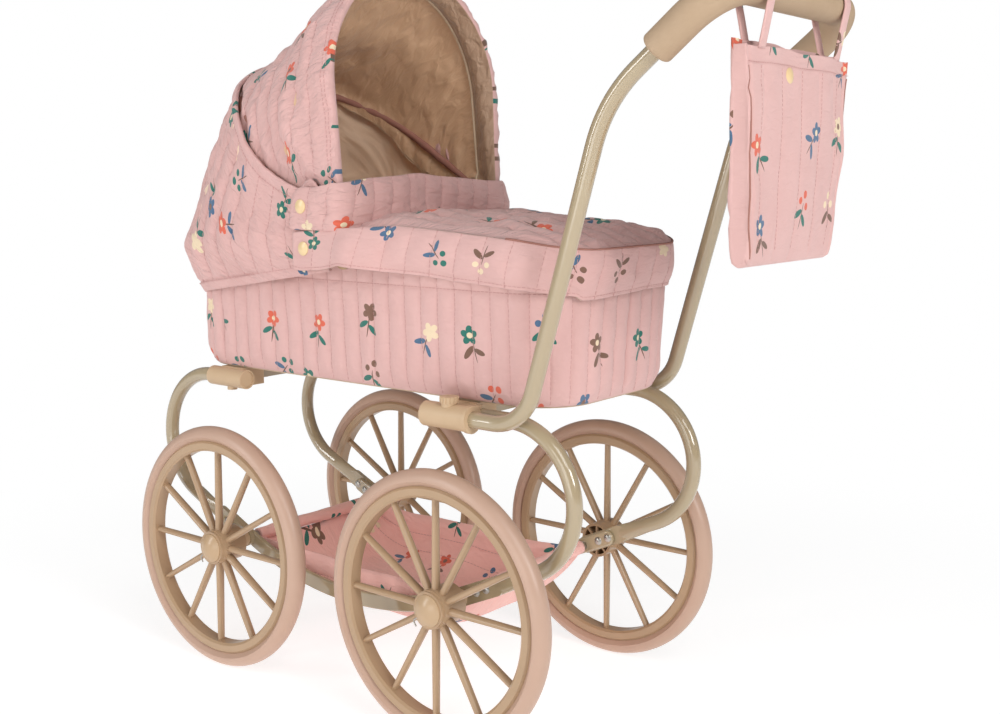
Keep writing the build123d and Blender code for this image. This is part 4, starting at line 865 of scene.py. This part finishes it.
def make_wind_flap():
    """Padded band, bent round the hood's mouth and closed at each side by a press stud."""
    corner_x, corner_y = FLAP_FRONT - FLAP_BEND, FLAP_BEND - FLAP_SIDE
    arc = np.radians(np.linspace(-90, 0, 16))
    path = mirrored((
        np.stack([np.arange(-41, 4, 3.0), np.full(15, -FLAP_SIDE)], 1),
        np.stack([corner_x + FLAP_BEND * np.cos(arc), corner_y + FLAP_BEND * np.sin(arc)], 1),
        np.stack([np.full(38, FLAP_FRONT), np.linspace(-106, 0, 38)], 1),
    ))
    length = run_along(path)[-1]
    pitch = length / FLAP_CHANNELS
    t = channel_stations(FLAP_CHANNELS)
    v = np.array([0, 0.02, 0.06, 0.14, 0.25, 0.37, 0.5, 0.63, 0.75, 0.86, 0.94, 0.98, 1.0])
    along = slanted(t, pitch, v, 9)
    plan, normal = resample(path, along)
    x, y = plan[..., 0], plan[..., 1]
    from_end = np.minimum(along, length - along)
    top_z = np.where(
        x < 10,
        np.interp(x, [-40, -10, 10], [478, 479, 482]),
        np.interp(y, [-120, -85, -18, 44, 115], [483, 486, 490, 487.5, 481]),
    )
    top_z = top_z + crinkle(along, along * 0, 33, 41) * 1.5
    into_corner = np.clip(FLAP_CORNER - from_end, 0, FLAP_CORNER)
    top_z = top_z - (FLAP_CORNER - np.sqrt(FLAP_CORNER ** 2 - into_corner ** 2))
    z = FLAP_LOW + (top_z - FLAP_LOW) * v
    run = np.repeat(t[:, None], len(v), 1)
    swell = (np.sin(np.pi * np.clip(v * 0.94 + 0.03, 0, 1)) ** 0.5)[None, :]
    middle = ease((x - 4) / 16)
    corner_folds = np.exp(-(((x - 2) / 16) ** 2)) * (np.abs(y) > 85)
    out = 0.4 + (channel_height(run, 2.2) + 2.2 + 3.4 * middle) * swell
    ripple = pucker(run, z, pitch, 1.2, 42) + crinkle(along, z, 24, 43) * 1.6 + crinkle(along, z, 12, 44)
    out += ripple * swell
    out += 2.2 * corner_folds * np.sin((z - FLAP_LOW + 0.7 * x) / 4.6) * swell
    pressed = near_stud(x, z, FLAP_SNAP_Z) * (np.abs(y) > 100)
    out = out * (1 - pressed) + 2.2 * pressed
    lean = 4.0 * middle * v
    face = moved_out(plan, normal, out, z)
    back = moved_out(plan, normal, -0.6 - (1.2 + 1.6 * middle) * swell, z)
    for grid in (face, back):
        grid[..., 0] -= lean
    flap = shell("wind_flap_pad", face, back, lay_uv(t * pitch, v * 48, (210, 150)), (quilt, satin, cotton))
    dress(flap, CHASSIS, stands_for="wind_flap")
    rows = sewn_lines(raised(face, normal, 0.15)[:, 1:-1])
    dress(sew("wind_flap_stitches", rows), CHASSIS)


# Hood: arches that lean back about points near the pivot
PIVOT_X, PIVOT_Z = 8, 463
HOOD_INSIDE = (PIVOT_X - 80, 0, PIVOT_Z + 40)
HOOD_GIRTH = 640                                     # round the hood from foot to foot
VISOR, HOOD_PITCH = 30.0, 23.8                       # width of the visor band and of each front channel
HOOD_REAR_CHANNELS = 26
# each arch: x and z of its foot's point, lean, half width, top, corner radius, and where its legs start
HOOD_FRONT_ARCHES = (
    (15.5, PIVOT_Z, 3.8, 121, 225, 116, 15),         # mouth
    (PIVOT_X, PIVOT_Z, 6, 121, 225, 116, 8.5),       # over the front bow
    (PIVOT_X, 436, 28, 120.5, 219, 99.5, 42),        # slack middle
    (PIVOT_X, 421, 48, 117.5, 261, 116.5, 30),       # seam
)
HOOD_REAR_ARCHES = (
    (PIVOT_X, 421, 48, 117.5, 261, 116.5, 30),       # seam
    (PIVOT_X, 428, 61, 116.5, 250, 104.5, 20),
    (PIVOT_X, 413, 87, 116.6, 263, 88.6, 8),         # fullest part
    (PIVOT_X, 401, 98.8, 112.5, 251, 82.5, 2),       # hem
)


def arch_section(x, z, lean, half_w, top, corner, low, stations):
    """Points of an upside-down U that leans back, at shares of its length from left foot to right foot."""
    leg, bend, flat = top - corner - low, math.pi * corner / 2, 2 * (half_w - corner)
    total = 2 * leg + 2 * bend + flat
    s = np.asarray(stations) * total
    half = np.minimum(s, total - s)
    side = np.where(s <= total / 2, -1.0, 1.0)
    on_leg, on_bend = half <= leg, (half > leg) & (half <= leg + bend)
    turn = (half - leg) / corner
    y = np.where(on_leg, half_w, np.where(on_bend, half_w - corner * (1 - np.cos(turn)), total / 2 - half))
    up = np.where(on_leg, low + half, np.where(on_bend, top - corner + corner * np.sin(turn), top))
    lean = math.radians(lean)
    return np.stack([x - up * math.sin(lean), side * y, z + up * math.cos(lean)], 1)


def loft(sections, stations, places, shares):
    """Smooth grid through arch sections that stand at their places."""
    grids = np.stack([arch_section(*section, stations) for section in sections])
    places = np.asarray(places, float)
    slopes = np.gradient(grids, places, axis=0)
    k = np.clip(np.searchsorted(places, shares, side="right") - 1, 0, len(places) - 2)
    span = places[k + 1] - places[k]
    f = (shares - places[k]) / span
    terms = (
        ((1 + 2 * f) * (1 - f) ** 2, grids[k]), (f * (1 - f) ** 2 * span, slopes[k]),
        (f * f * (3 - 2 * f), grids[k + 1]), (f * f * (f - 1) * span, slopes[k + 1]),
    )
    return sum(weight[:, None, None] * grid for weight, grid in terms).transpose(1, 0, 2)


def hood_edge(stations):
    """Where the rear panel's rolled edge lies on the hood: 0 is the mouth, 1 the seam, 2 the hem."""
    near = np.minimum(stations, 1 - stations)
    spots = [0, 0.01, 0.05, 0.088, 0.118, 0.15, 0.18, 0.21, 0.235, 0.3, 0.36, 0.42, 0.5]
    return np.interp(near, spots, [0.05, 0.27, 0.81, 0.93, 1, 1.06, 1.06, 1.04, 1, 0.97, 0.98, 0.93, 0.9])


def hood_lines(stations, first, last):
    """For each station, the hood's points from one place to another, and their distance along the cloth."""
    share = np.linspace(0, 1, 121)
    front = loft(HOOD_FRONT_ARCHES, stations, (0, 0.07, 0.5, 1), share)
    rear = loft(HOOD_REAR_ARCHES, stations, (0, 0.26, 0.75, 1), share)
    whole, places = np.concatenate([front, rear[:, 1:]], 1), np.concatenate([share, 1 + share[1:]])
    lines = []
    for line, a, b in zip(whole, first, last):
        points = along_line(line, places, np.linspace(a, b, 161))
        lines.append((points, run_along(points)))
    return lines


def hood_grid(lines, along):
    """Points of the hood at distances along each of its lines."""
    return np.stack([along_line(points, run, at) for (points, run), at in zip(lines, along)])


def from_pivot(points):
    """Distance of points from the hood's pivot, seen from the side."""
    return np.hypot(points[..., 0] - PIVOT_X, points[..., 2] - PIVOT_Z)


def tuck_in(grid, most):
    """Keep the hood's feet inside the flap and the tabs."""
    room = most + 7 * ease((-38 - grid[..., 0]) / 26) + 7 * ease((grid[..., 2] - 484) / 16)
    grid[..., 1] = np.clip(grid[..., 1], -room, room)


def make_hood_front():
    """Front panel: a visor band, then sewn lines that run with the mouth and end under the rear panel."""
    stations = np.linspace(0, 1, 201)
    around = (stations * HOOD_GIRTH)[:, None]
    edge = hood_edge(stations)
    lines = hood_lines(stations, 0 * edge, edge + 0.1)
    seams = [VISOR + HOOD_PITCH * k for k in range(9)]
    marks = [0, 1.2, 3, 5, 7, 9, 12, 16, 20, 24, 27]
    marks += [seam + d for seam in seams for d in (-1.5, 0, 1.5, 5, 9, 13, 17.5)]
    marks = np.array([m for m in marks if m < 250])
    reach = np.array([run[-1] for _, run in lines])[:, None]
    along = np.minimum(marks[None, :], reach - 0.12 * np.arange(len(marks))[::-1])
    base = hood_grid(lines, along)
    normal = grid_normals(base, False, HOOD_INSIDE)
    high = ease((base[..., 2] - 488) / 30)
    t = np.where(along < VISOR, along / VISOR, 1 + (along - VISOR) / HOOD_PITCH)
    # filling, wrinkles, and folds that fan out from the pivot
    lift = np.where(along < VISOR, 1.8 * np.abs(np.sin(np.pi * t)) ** 0.6, channel_height(t, 2.6))
    lift += pucker(t, around, 24, 1.6, 51)
    lift += crinkle(around, along, 30, 52) * 1.9 + crinkle(around, along, 13, 53) * 1.5
    bearing = np.degrees(np.arctan2(PIVOT_X - base[..., 0], base[..., 2] - PIVOT_Z))
    folds = np.sin(np.radians(bearing * 11 + 20)) * np.exp(-(((from_pivot(base) - 85) / 50) ** 2))
    lift += 3.6 * folds * ease((along - VISOR) / 14)
    lift *= 0.15 + 0.85 * high
    lift -= 4.0 * ease((along - reach + 22) / 8)
    face = base + normal * lift[..., None]
    tuck_in(face, 119.0)
    # the lining stands clear of the front bow, and is rumpled behind it
    bow_at = 8 + 9 * ease((base[..., 2] - 480) / 150)
    depth = 4.0 + 7.6 * np.exp(-(((along - bow_at) / 12) ** 2))
    rumpled = crinkle(around, along, 28, 54) * 2.2 + crinkle(around, along, 12, 55) * 1.1
    depth += rumpled * ease((along - VISOR) / 20)
    depth += 1.3 * crinkle(around, along * 0.3, 9, 56) * ease((VISOR - 2 - along) / 5) * ease(along / 6)
    back = base - normal * (np.maximum(depth, 2.5) + 4.0 * ease((along - reach + 24) / 14))[..., None]
    tuck_in(back, 117.0)
    uv = lay_uv(stations * HOOD_GIRTH, marks, (5, 20))[..., ::-1]
    front = shell("hood_front_cloth", face, back, uv, (quilt, satin, cotton, visor_satin_painted_shade))
    # inside faces, which come after the outside faces, take the visor's darker satin, painted shade, up to
    # its seam
    inside = np.zeros((2, len(stations) - 1, len(marks) - 1), bool)
    inside[1] = (marks[1:] > 1.0) & (marks[1:] <= VISOR)
    for number in np.nonzero(inside.ravel())[0]:
        front.data.polygons[number].material_index = 3
    dress(front, stands_for="hood_front_panel")
    rows = []
    for mark in [5.0, 9.0] + seams:
        column = int(np.argmin(np.abs(marks - mark)))
        shown = (reach[:, 0] - 16 > mark) & (face[:, column, 2] > 485)
        for run in np.split(np.arange(len(stations)), np.nonzero(np.diff(shown.astype(int)))[0] + 1):
            if shown[run[0]] and len(run) > 3:
                rows.append((face[:, column] + normal[:, column] * 0.2)[run])
    sewn = sew("hood_front_stitches", rows)
    dress(sewn)
    # piping where the visor's lining meets the rest
    column = int(np.argmin(np.abs(marks - VISOR)))
    piping = round_tube("visor_piping", back[3:-3, column] - normal[3:-3, column] * 0.5, 1.2, binding, 72)
    dress(piping)
    for piece in (front, sewn, piping):
        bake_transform(piece)


def make_hood_rear():
    """Rear panel: a rolled front edge, sewn lines from there to the hem, and a turned-up hem."""
    t = channel_stations(HOOD_REAR_CHANNELS) / HOOD_REAR_CHANNELS
    around = (t * HOOD_GIRTH)[:, None]
    edge = hood_edge(t)
    lines = hood_lines(t, edge, np.full(len(t), 2.0))
    reach = np.array([run[-1] for _, run in lines])[:, None]
    start = np.array([0, 0.6, 1.8, 3.4, 5.4, 7.6, 9.6, 11, 12, 13.5, 16])
    finish = np.array([15, 12.5, 11.2, 10.4, 9.4, 7, 4, 1.6, 0.5, 0])
    middle = np.linspace(0, 1, 46)[1:-1]
    along = np.concatenate([
        np.repeat(start[None, :], len(t), 0), 16 + (reach - 31) * middle[None, :], reach - finish[None, :]
    ], 1)
    base = hood_grid(lines, along)
    normal = grid_normals(base, False, HOOD_INSIDE)
    run = np.repeat(t[:, None] * HOOD_REAR_CHANNELS, along.shape[1], 1)
    to_hem = reach - along
    # filling and wrinkles, fullest above the hem, then the rolled edge and the turned-up hem
    filled = ease((along - 11) / 8) * ease((to_hem - 10.4) / 5)
    lift = (channel_height(run, 2.8) + pucker(run, along, 24, 1.8, 61)) * filled
    lift += (crinkle(around, along, 34, 62) * 2.3 + crinkle(around, along, 14, 63) * 1.7) * filled
    lift += 5.5 * np.exp(-(((to_hem - 46) / 26) ** 2)) - 3.0 * ease((14 - to_hem) / 14)
    roll = np.clip(along / 11, 0, 1)
    over = 2.6 * ease((30 - along) / 30)
    lift += over + 3.0 * np.sin(np.pi * (0.2 + 0.8 * roll)) * (along < 11)
    turned = ease((10.6 - to_hem) / 0.8)
    lift += turned * (2.2 - 0.9 * ease((2.5 - to_hem) / 2.5))
    shoulder = np.exp(-(((base[..., 0] + 205) / 40) ** 2 + ((base[..., 2] - 470) / 40) ** 2))
    face = base + normal * (lift - 3.0 * shoulder)[..., None]
    tuck_in(face, 121.6)
    depth = 3.4 + crinkle(around, along, 40, 64) * 2.4 + crinkle(around, along, 15, 65) * 0.7
    depth = np.where(along < 30, 0.4 + (np.maximum(depth, 2.2) - 0.4) * ease((along - 12) / 18), depth)
    depth = 1.0 + (depth - 1.0) * ease((to_hem - 2) / 16) + 3.0 * ease((14 - to_hem) / 14)
    back = base - normal * np.maximum(depth - over, -1.6)[..., None]
    tuck_in(back, 119.6)
    # room for the front bow's legs, which swing through here when the hood folds
    near_pivot = ease((140 - from_pivot(base)) / 25)
    for grid, least in ((face, 121.4), (back, 119.3)):
        short = np.maximum(least - np.abs(grid[..., 1]), 0) * (np.abs(grid[..., 1]) > 90)
        grid[..., 1] += np.sign(grid[..., 1]) * near_pivot * short
    uv = lay_uv(t * HOOD_GIRTH, np.zeros(along.shape[1]), (300, 260))
    uv[..., 1] += along
    # its back is the paler sateen: painted light inside the hood
    rear = shell("hood_rear_cloth", face, back, uv, (quilt, sateen_painted_light, cotton))
    dress(rear, stands_for="hood_rear_panel")
    proud = face + normal * 0.2
    rows = sewn_lines(proud[:, 8:-7]) + [proud[3:-3, 7], proud[3:-3, -6]]
    sewn = sew("hood_rear_stitches", rows)
    dress(sewn)
    for piece in (rear, sewn):
        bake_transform(piece)


def make_bow_casing():
    """Casing of the middle bow, inside the hood: thinner near the pivot, in cotton darkened as painted shade.
    """
    path = arch_section(PIVOT_X, PIVOT_Z, 58, 110.6, 224, 100.6, 20, np.linspace(0, 1, 121))
    radius = 2.9 + 0.9 * ease((from_pivot(path) - 32) / 50)
    casing = round_tube("middle_bow_casing", path, radius, cotton_painted_shade, 71)
    dress(casing, HOOD_MIDDLE)


# Basket slung between the axles
AXLE_Z, HALF_BASE, BASKET_HALF = 120, 143, 84


def make_basket():
    """Cotton sling: a sleeve round each axle, and a pouch with upright hems between them."""
    u = np.linspace(-1, 1, 101)
    a = np.concatenate([np.linspace(0, 0.12, 6), np.linspace(0.12, 1, 28)[1:]])
    across = np.concatenate([np.cos(np.pi / 2 * a) ** 0.5, -np.cos(np.pi / 2 * a[-2::-1]) ** 0.5])
    down = np.concatenate([np.sin(np.pi / 2 * a) ** 0.5, np.sin(np.pi / 2 * a[-2::-1]) ** 0.5])
    sag = (1 - u * u)[:, None]
    x = np.repeat((u * HALF_BASE)[:, None], len(across), 1)
    hem = AXLE_Z - 1 - 3.5 * sag + crinkle(x, x * 0 + np.sign(across) * 90, 44, 82) * 2.2 * sag
    deep = 5.8 + 42 * (1 - u ** 6)[:, None] ** 0.8
    y = -across[None, :] * BASKET_HALF
    loose = crinkle(x, y * 1.3, 36, 81) * 2.6 + crinkle(x, y, 14, 83) * 0.9
    face = np.stack([
        x, y - np.sign(y) * (loose * sag * down * (1 - down) * 2.5 + 3 * sag * np.sin(np.pi * down)),
        hem - deep * down + loose * sag * down ** 2 * 0.8,
    ], 2)
    normal = grid_normals(face, False, (0, 0, 300))
    run = run_along(face[len(u) // 2])
    uv = lay_uv(u * 150, run, (500, 40))
    # the basket's cotton is paler as painted light
    sling = shell("basket_sling", face, face + normal * 1.4, uv, (basket_cotton_painted_light,) * 3)
    dress(sling, CHASSIS, stands_for="basket")
    width = np.linspace(-BASKET_HALF, BASKET_HALF, 60)
    for end, label in ((-1, "front"), (1, "rear")):
        rings = []
        for angle in np.linspace(0, 2 * np.pi, 19)[:-1]:
            r = 6.4 + 0.5 * crinkle(width, np.full(60, angle * 5), 12, 84 + end)
            rings.append(np.stack(
                [end * HALF_BASE + r * math.cos(angle), width, AXLE_Z + r * math.sin(angle)], 1
            ))
        sleeve = tube_of(f"basket_sleeve_{label}", np.stack(rings, 1), basket_cotton_painted_light)
        dress(sleeve, CHASSIS)
    faces_out = normal[..., 1] * np.sign(y) > 0
    outward = np.where(faces_out[..., None], normal, -normal)
    rows = [face[:, k] + outward[:, k] * 1.7 for k in (5, len(across) - 6)]
    rows += [face[:, k] - outward[:, k] * 0.3 for k in (5, len(across) - 6, 14, len(across) - 15)]
    dress(sew("basket_stitches", rows, radius=0.28), CHASSIS)


# Bag on the handle
BAR_X, BAR_Z, GRIP_R = 400, 627, 13.5
BAG_TOP, BAG_LOW = 589, 421
STRAPS_Y = (-68, 68)
BAG_SEAMS = (-62, -31, 0, 31, 62)        # sewn lines, from the bag's middle
BAG_CREASES = ((553, 0.35, 26), (503, -0.2, 20), (486, 0.12, 34), (458, -0.3, 18))   # height, slope, reach


def make_bag_pouch():
    """Flat pouch with a faced top, piped front corners and sewn lines; dark tubes down the front corners are
    painted shade of their creases.
    """
    z = np.array(
        [421, 421.2, 422, 424, 428, 434, 442, 450, 458, 466, 474, 482, 490, 498, 506, 514, 522, 530, 538,
         546, 553, 560, 566, 571, 573.8, 574.8, 576.5, 580, 584, 587, 588.4, 589]
    )
    share = (z - BAG_LOW) / (BAG_TOP - BAG_LOW)
    left, right = -87 - 5 * share, 60 + 32 * share
    depth = np.interp(
        z, [421, 421.2, 422, 424, 430, 450, 520, 574, 589], [1.0, 4, 7, 10, 13.5, 15.5, 15, 13, 12.4]
    )
    steps = np.linspace(0, 1, 301)
    face = np.zeros((300, len(z), 3))
    inner = np.zeros((300, len(z), 3))
    # ring by ring from the foot up: belly, sewn lines, edge piping, creases and a sagging mouth
    for k in range(len(z)):
        width = right[k] - left[k]
        radius = min(depth[k] / 2 - 0.2, 1.8)
        perimeter = 2 * (depth[k] + width) - (8 - 2 * math.pi) * radius
        ring, normal = round_rect(steps[:-1] * perimeter, depth[k], width, radius)
        level = np.full(300, z[k])
        flat = np.abs(normal[:, 0]) ** 6
        ripple = crinkle(ring[:, 1], level, 42, 91) * 1.9 + crinkle(ring[:, 1], level * 0.6, 16, 92) * 0.7
        seam = np.min(np.abs((ring[:, 1, None] - np.array(BAG_SEAMS))), 1)
        ripple -= 0.8 * np.exp(-seam / 2.5) * (z[k] < 573)
        ripple -= 1.5 * np.exp(-(((np.abs(ring[:, 1]) - width / 2 + 5.0) / 1.6) ** 2))
        inward = ring[:, 1] + width / 2
        for crease_z, slope, reach in BAG_CREASES:
            ripple -= 2.2 * np.exp(-(((z[k] - crease_z - slope * inward) / 3.4) ** 2) - inward / reach)
        belly = 2.4 * math.sin(math.pi * share[k])
        creases = (1.5 + 1.3 * crinkle(level, ring[:, 1] * 0 + np.sign(ring[:, 1]) * 40, 12, 93)) * (1 - flat)
        out = flat * (ripple + belly) * (z[k] > 422) - creases * math.sin(math.pi * min(share[k] * 1.1, 1))
        out += 4.0 * (normal[:, 0] * normal[:, 1]) ** 2 * (z[k] > 423) + 0.8 * flat * (z[k] > 574.5)
        ring = ring + normal * out[:, None]
        drop = -5.0 * ease((z[k] - 560) / 29) * (normal[:, 0] > 0)
        drop = drop + crinkle(ring[:, 1], ring[:, 1] * 0, 26, 94) * 1.4 * ease((z[k] - 565) / 20)
        middle = (left[k] + right[k]) / 2
        face[:, k] = np.stack([BAR_X + ring[:, 0], ring[:, 1] + middle, z[k] + drop], 1)
        pulled = ring - normal * min(1.6, depth[k] / 2 - 0.3)
        low = max(z[k], 422.8) - (z[k] > 588.8) * 0.2
        inner[:, k] = np.stack([BAR_X + pulled[:, 0], pulled[:, 1] + middle, low + drop], 1)
    pouch = shell("bag_pouch", face, inner, lay_uv(steps * 390, z, (700, 90)), (cotton,) * 3, wrap=True)
    dress(pouch, BAG_BODY, stands_for="bag")
    front = [i for i in np.argsort(face[:, 10, 1]) if face[i, 10, 0] > BAR_X + 4]
    rows = [face[front, 25] + np.array([0.3, 0, 0])]
    for target in BAG_SEAMS:
        column = min(front, key=lambda i: abs(face[i, 10, 1] - (left[10] + right[10]) / 2 - target))
        rows.append(face[column, 5:24] + np.array([0.15, 0, 0]))
    # painted shade: dark tubes down the front corners, for the creases beside their piping
    for side, corner in (("left", front[0]), ("right", front[-1])):
        path = face[corner, 4:24] + np.array([0.2, 0, 0])
        piping = round_tube(f"bag_corner_shade_{side}", path, 0.65, cotton_painted_shade, 96)
        dress(piping, BAG_BODY)
    dress(sew("bag_stitches", rows, 3.4, 2.2, 0.2), BAG_BODY)


def make_bag_straps():
    """Two loops over the grip, their ends sewn inside the pouch."""
    for number, y in enumerate(STRAPS_Y):
        half_w, radius = 5.3, GRIP_R + 0.8
        reach = math.hypot(half_w, BAR_Z - BAG_TOP + 6)
        lean = math.acos(radius / reach) + math.atan2(half_w, BAR_Z - BAG_TOP + 6)
        wrap = np.linspace(lean - math.pi, math.pi - lean, 41)
        over = np.stack([radius * np.sin(wrap), radius * np.cos(wrap)], 1)
        down = np.linspace(0, 1, 14)[1:, None]
        right_leg = over[-1] + (np.array([half_w, BAG_TOP - 6 - BAR_Z]) - over[-1]) * down
        line = np.concatenate([(right_leg * np.array([-1, 1]))[::-1], over, right_leg])
        run = run_along(line)
        tangent = np.gradient(line, axis=0)
        tangent /= np.linalg.norm(tangent, axis=1, keepdims=True)
        out = np.stack([-tangent[:, 1], tangent[:, 0]], 1)
        if np.sum(out * line) < 0:
            out = -out
        w = np.array([-5.5, -5.0, -2.5, 0, 2.5, 5.0, 5.5])
        lift = np.array([0.15, 0.7, 0.85, 0.75, 0.85, 0.7, 0.15])
        twist = crinkle(run, run * 0, 30, 95 + number) * 0.8
        grids = []
        for sign in (1, -1):
            p = line[:, None, :] + out[:, None, :] * (0.85 + sign * lift[None, :, None])
            spots = [BAR_X + p[:, :, 0], y + w[None, :] + twist[:, None], BAR_Z + p[:, :, 1]]
            grids.append(np.stack(spots, 2))
        uv = lay_uv(run, w, (900 + 50 * number, 0))
        strap = shell(f"bag_strap_{number + 1}", *grids, uv, (cotton,) * 3)
        dress(strap, BAG_BODY, stands_for=None if number else "bag_straps")


make_bassinet()
make_mattress()
make_apron()
make_wind_flap()
make_hood_front()
make_hood_rear()
make_bow_casing()
make_basket()
make_bag_pouch()
make_bag_straps()

# Stage: pale floor that runs out into white, soft studio light, and the photograph's camera
floor_mesh = bpy.data.meshes.new("floor")
floor_mesh.from_pydata([(-6, -6, 0), (6, -6, 0), (6, 6, 0), (-6, 6, 0)], [], [(0, 1, 2, 3)])
floor = set_out("floor", floor_mesh)
floor_finish, floor_tree, floor_shader = finish_of(
    "studio_floor", "#F4F4F4", Roughness=0.9, Emission_Color=(1, 1, 1, 1), Emission_Strength=0.5
)
floor_mesh.materials.append(floor_finish)
ground = put(floor_tree, "ShaderNodeTexCoord").outputs["Object"]
away = vector_of(floor_tree, "LENGTH", ground)
far = put(
    floor_tree, "ShaderNodeMapRange", {"Value": away, "From Min": 0.3, "From Max": 1.0, "To Min": 0.5},
    interpolation_type="SMOOTHSTEP",
).outputs["Result"]
seen = put(floor_tree, "ShaderNodeLightPath").outputs["Is Camera Ray"]
glow = put(floor_tree, "ShaderNodeEmission", {"Color": (1, 1, 1, 1), "Strength": 1.0}).outputs[0]
blend_in = math_of(floor_tree, "MULTIPLY", far, seen)
floor_look = put(
    floor_tree, "ShaderNodeMixShader", {0: blend_in, 1: floor_shader.outputs[0], 2: glow}
).outputs[0]
floor_tree.links.new(floor_look, floor_tree.nodes["Material Output"].inputs["Surface"])

world = bpy.data.worlds.new("studio")
scene.world = world
world.use_nodes = True
sky = world.node_tree
shown = put(sky, "ShaderNodeLightPath").outputs["Is Camera Ray"]
backdrop = put(sky, "ShaderNodeBackground", {"Color": (1, 1, 1, 1), "Strength": 1.0}).outputs[0]
fill = put(sky, "ShaderNodeBackground", {"Color": (1, 1, 1, 1), "Strength": 0.25}).outputs[0]
sky_mix = put(sky, "ShaderNodeMixShader", {0: shown, 1: fill, 2: backdrop}).outputs[0]
sky.links.new(sky_mix, sky.nodes["World Output"].inputs["Surface"])


def softbox(name, spot, target, width, height, power):
    """Studio light at a spot that faces a target, in metres and watts."""
    light = bpy.data.lights.new(name, "AREA")
    light.shape = "RECTANGLE"
    light.size, light.size_y = width, height
    light.energy = power
    lamp = set_out(name, light)
    lamp.location = spot
    aim = [b - a for a, b in zip(spot, target)]
    flat = math.hypot(aim[0], aim[1])
    lamp.rotation_euler = (math.atan2(flat, -aim[2]), 0, math.atan2(aim[1], aim[0]) - math.pi / 2)


softbox("key_light", (-1.3, -2.2, 1.25), (0, 0, 0.35), 0.5, 1.6, 19.5)
softbox("side_light", (2.2, -0.5, 1.1), (0, 0, 0.35), 0.7, 0.7, 17)
softbox("top_light", (1.5, -0.9, 1.8), (0, 0, 0.4), 1.1, 1.1, 14)
softbox("low_light", (0.3, -2.2, 0.35), (0, 0, 0.25), 1.2, 1.2, 11.5)

CAMERA_SPOT = (824.26, -913.32, 492.54)
CAMERA_TURN, CAMERA_TILT = 38.105, 4.730
FOCAL_PX, FRAME_W, FRAME_H, AXIS_ROW = 1238.8, 1000, 714, 273.6
lens = bpy.data.cameras.new("photo_camera")
lens.sensor_width = 36
lens.lens = FOCAL_PX / FRAME_W * lens.sensor_width
lens.shift_y = (AXIS_ROW - FRAME_H / 2) / FRAME_W
lens.clip_start = 0.01
camera = set_out("photo_camera", lens)
camera.location = place(*CAMERA_SPOT)
camera.rotation_euler = (math.radians(90 - CAMERA_TILT), 0, math.radians(CAMERA_TURN))
scene.camera = camera
